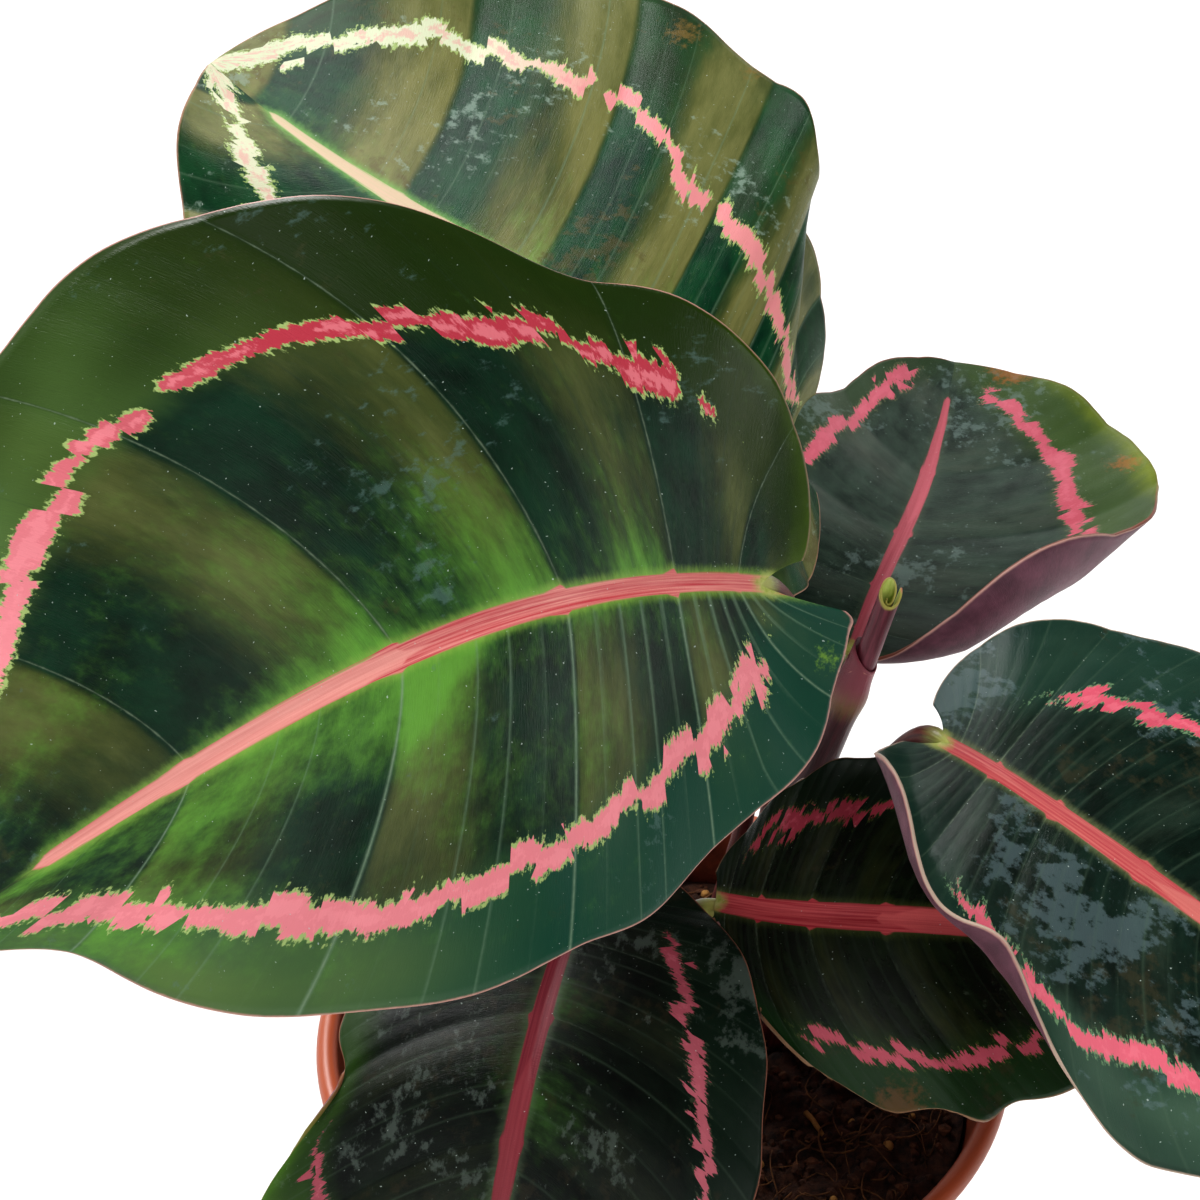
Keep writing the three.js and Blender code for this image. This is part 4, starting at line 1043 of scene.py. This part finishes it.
def scatterFibres(draw):
    edge = mixEdge(4)
    shortest, more = mix["fibreLength"]
    bm = bmesh.new()
    fields = numberLayers(bm, stemFields)
    for k in range(mix["fibres"]):
        x, y = randomSpot(draw, edge)
        reach, aim = shortest + more * draw.random(), 2 * pi * draw.random()
        points = []
        for step in range(4):
            lift = 0.35 + (1.8 * draw.random() if step in (1, 2) else 0)
            out = reach * step / 3
            points.append(overMix(x + out * cos(aim), y + out * sin(aim), edge, lift))
            aim += draw.uniform(-mix["fibreTurn"], mix["fibreTurn"])
        thin = draw.uniform(*mix["fibreRadius"])
        sweepRound(bm, Bend(points), lambda share: thin, 4, 7, fields)
    bmesh.ops.recalc_face_normals(bm, faces=bm.faces)
    keepPlace(bm, "mixPlace")
    finishPiece(bm, "coirFibres", "", [mixSurface("coirFibre", ["#3f2613", "#7c5430"], 0.4)])


def scatterGrains(draw):
    # round grains of slow fertiliser, and a few bits of bark lying about
    edge = mixEdge(3)
    thick, taper = mix["stickRadius"]
    bm = bmesh.new()
    for k in range(mix["grains"]):
        x, y = randomSpot(draw, edge)
        size = draw.uniform(*mix["grainRadius"])
        spot = Matrix.Translation(overMix(x, y, edge, 0.6 * size))
        bmesh.ops.create_icosphere(bm, subdivisions=2, radius=size, matrix=spot)
    fields = numberLayers(bm, stemFields)
    for k in range(mix["sticks"]):
        x, y = randomSpot(draw, edge * 0.8)
        aim, reach = 2 * pi * draw.random(), draw.uniform(*mix["stickLength"])
        a = overMix(x, y, edge, 0.7)
        b = overMix(x + reach * cos(aim), y + reach * sin(aim), edge, 0.9)
        stick = Bend([a, a.lerp(b, 0.3) + Vector((0.2, 0.1, 0.3)), a.lerp(b, 0.7), b])
        sweepRound(bm, stick, lambda share: thick - taper * share, 8, 6, fields)
    bmesh.ops.recalc_face_normals(bm, faces=bm.faces)
    roughen(bm, *mix["grainRough"])
    keepPlace(bm, "mixPlace")
    finishPiece(bm, "mixGrains", "", [mixSurface("ochreGrain", ["#8a5f2e", "#b58a4d"], 0.4)])


draw = random.Random(mix["seed"])
noise.seed_set(mix["seed"])     # noise_vector goes by the clock without it
fillPot()
scatterCrumbs(draw)
scatterFibres(draw)
scatterGrains(draw)
print("potting mix filled")

studio = {
    "cameraPlace": (-0.00955, -0.3411, 0.4359), "lookDown": 37.5, "lens": 95.04, "sensor": 36,
    "floorSize": 40.0, "floorTint": "#f7f6f4",
    "wall": 1.0, "ceiling": 0.04, "wallTop": 0.5,     # the room is white to this height, and dark above
    "window": (-0.35, 0.5, 0.8), "windowStrength": 3.5, "windowAngle": 30,   # one broad soft light from behind
    "lamps": [
        # place, aims at, size, watts
        ((0.7, -0.65, 1.1), (0, 0, 0.15), 0.7, 5),
        ((-0.6, -0.9, 0.9), (0, 0, 0.12), 0.8, 3),
    ],
}


def paintedFloor():
    # matt white studio board
    material = bpy.data.materials.new("whiteBoard")
    material.use_nodes = True
    shader = material.node_tree.nodes["Principled BSDF"]
    shader.inputs["Base Color"].default_value = linearColour(studio["floorTint"])
    shader.inputs["Roughness"].default_value = 0.9
    return material


def hangLight(name, kind, place, aim, **settings):
    light = bpy.data.lights.new(name, kind)
    for setting, value in settings.items():
        setattr(light, setting, value)
    lamp = bpy.data.objects.new(name, light)
    lamp.location = place
    lamp.rotation_euler = (Vector(aim) - Vector(place)).to_track_quat("-Z", "Y").to_euler()
    bpy.context.scene.collection.objects.link(lamp)


def buildStudio():
    scene = bpy.context.scene
    bm = bmesh.new()
    bmesh.ops.create_grid(bm, x_segments=1, y_segments=1, size=studio["floorSize"] / 2)
    floorPiece = placeMesh(bm, "studioFloor", 1)
    floorPiece.data.materials.append(paintedFloor())
    world = bpy.data.worlds.new("studioAir")
    world.use_nodes = True
    tree = world.node_tree
    heading = addNode(tree, "ShaderNodeTexCoord").outputs["Generated"]
    height = addNode(tree, "ShaderNodeSeparateXYZ", {"Vector": heading}).outputs["Z"]
    glow = addNode(tree, "ShaderNodeMapRange", {
        "Value": height, "From Min": 0.0, "From Max": studio["wallTop"], "To Min": studio["wall"],
        "To Max": studio["ceiling"]}, interpolation_type="SMOOTHSTEP")
    tree.nodes["Background"].inputs["Color"].default_value = (1, 1, 1, 1)
    tree.links.new(glow.outputs[0], tree.nodes["Background"].inputs["Strength"])
    scene.world = world
    for k, (place, aim, size, watts) in enumerate(studio["lamps"]):
        hangLight(f"softLamp{k + 1}", "AREA", place, aim, size=size, energy=watts)
    hangLight("softWindow", "SUN", studio["window"], (0, 0, 0), energy=studio["windowStrength"],
              angle=radians(studio["windowAngle"]))
    lens = bpy.data.cameras.new("photoCamera")
    lens.lens = studio["lens"]
    lens.sensor_width = studio["sensor"]
    lens.clip_start = 0.01
    camera = bpy.data.objects.new("photoCamera", lens)
    camera.location = studio["cameraPlace"]
    camera.rotation_euler = (radians(90 - studio["lookDown"]), 0, 0)
    scene.collection.objects.link(camera)
    scene.camera = camera
    scene.view_settings.view_transform = "Standard"
    scene.view_settings.look = "Medium High Contrast"


buildStudio()
print("studio set")
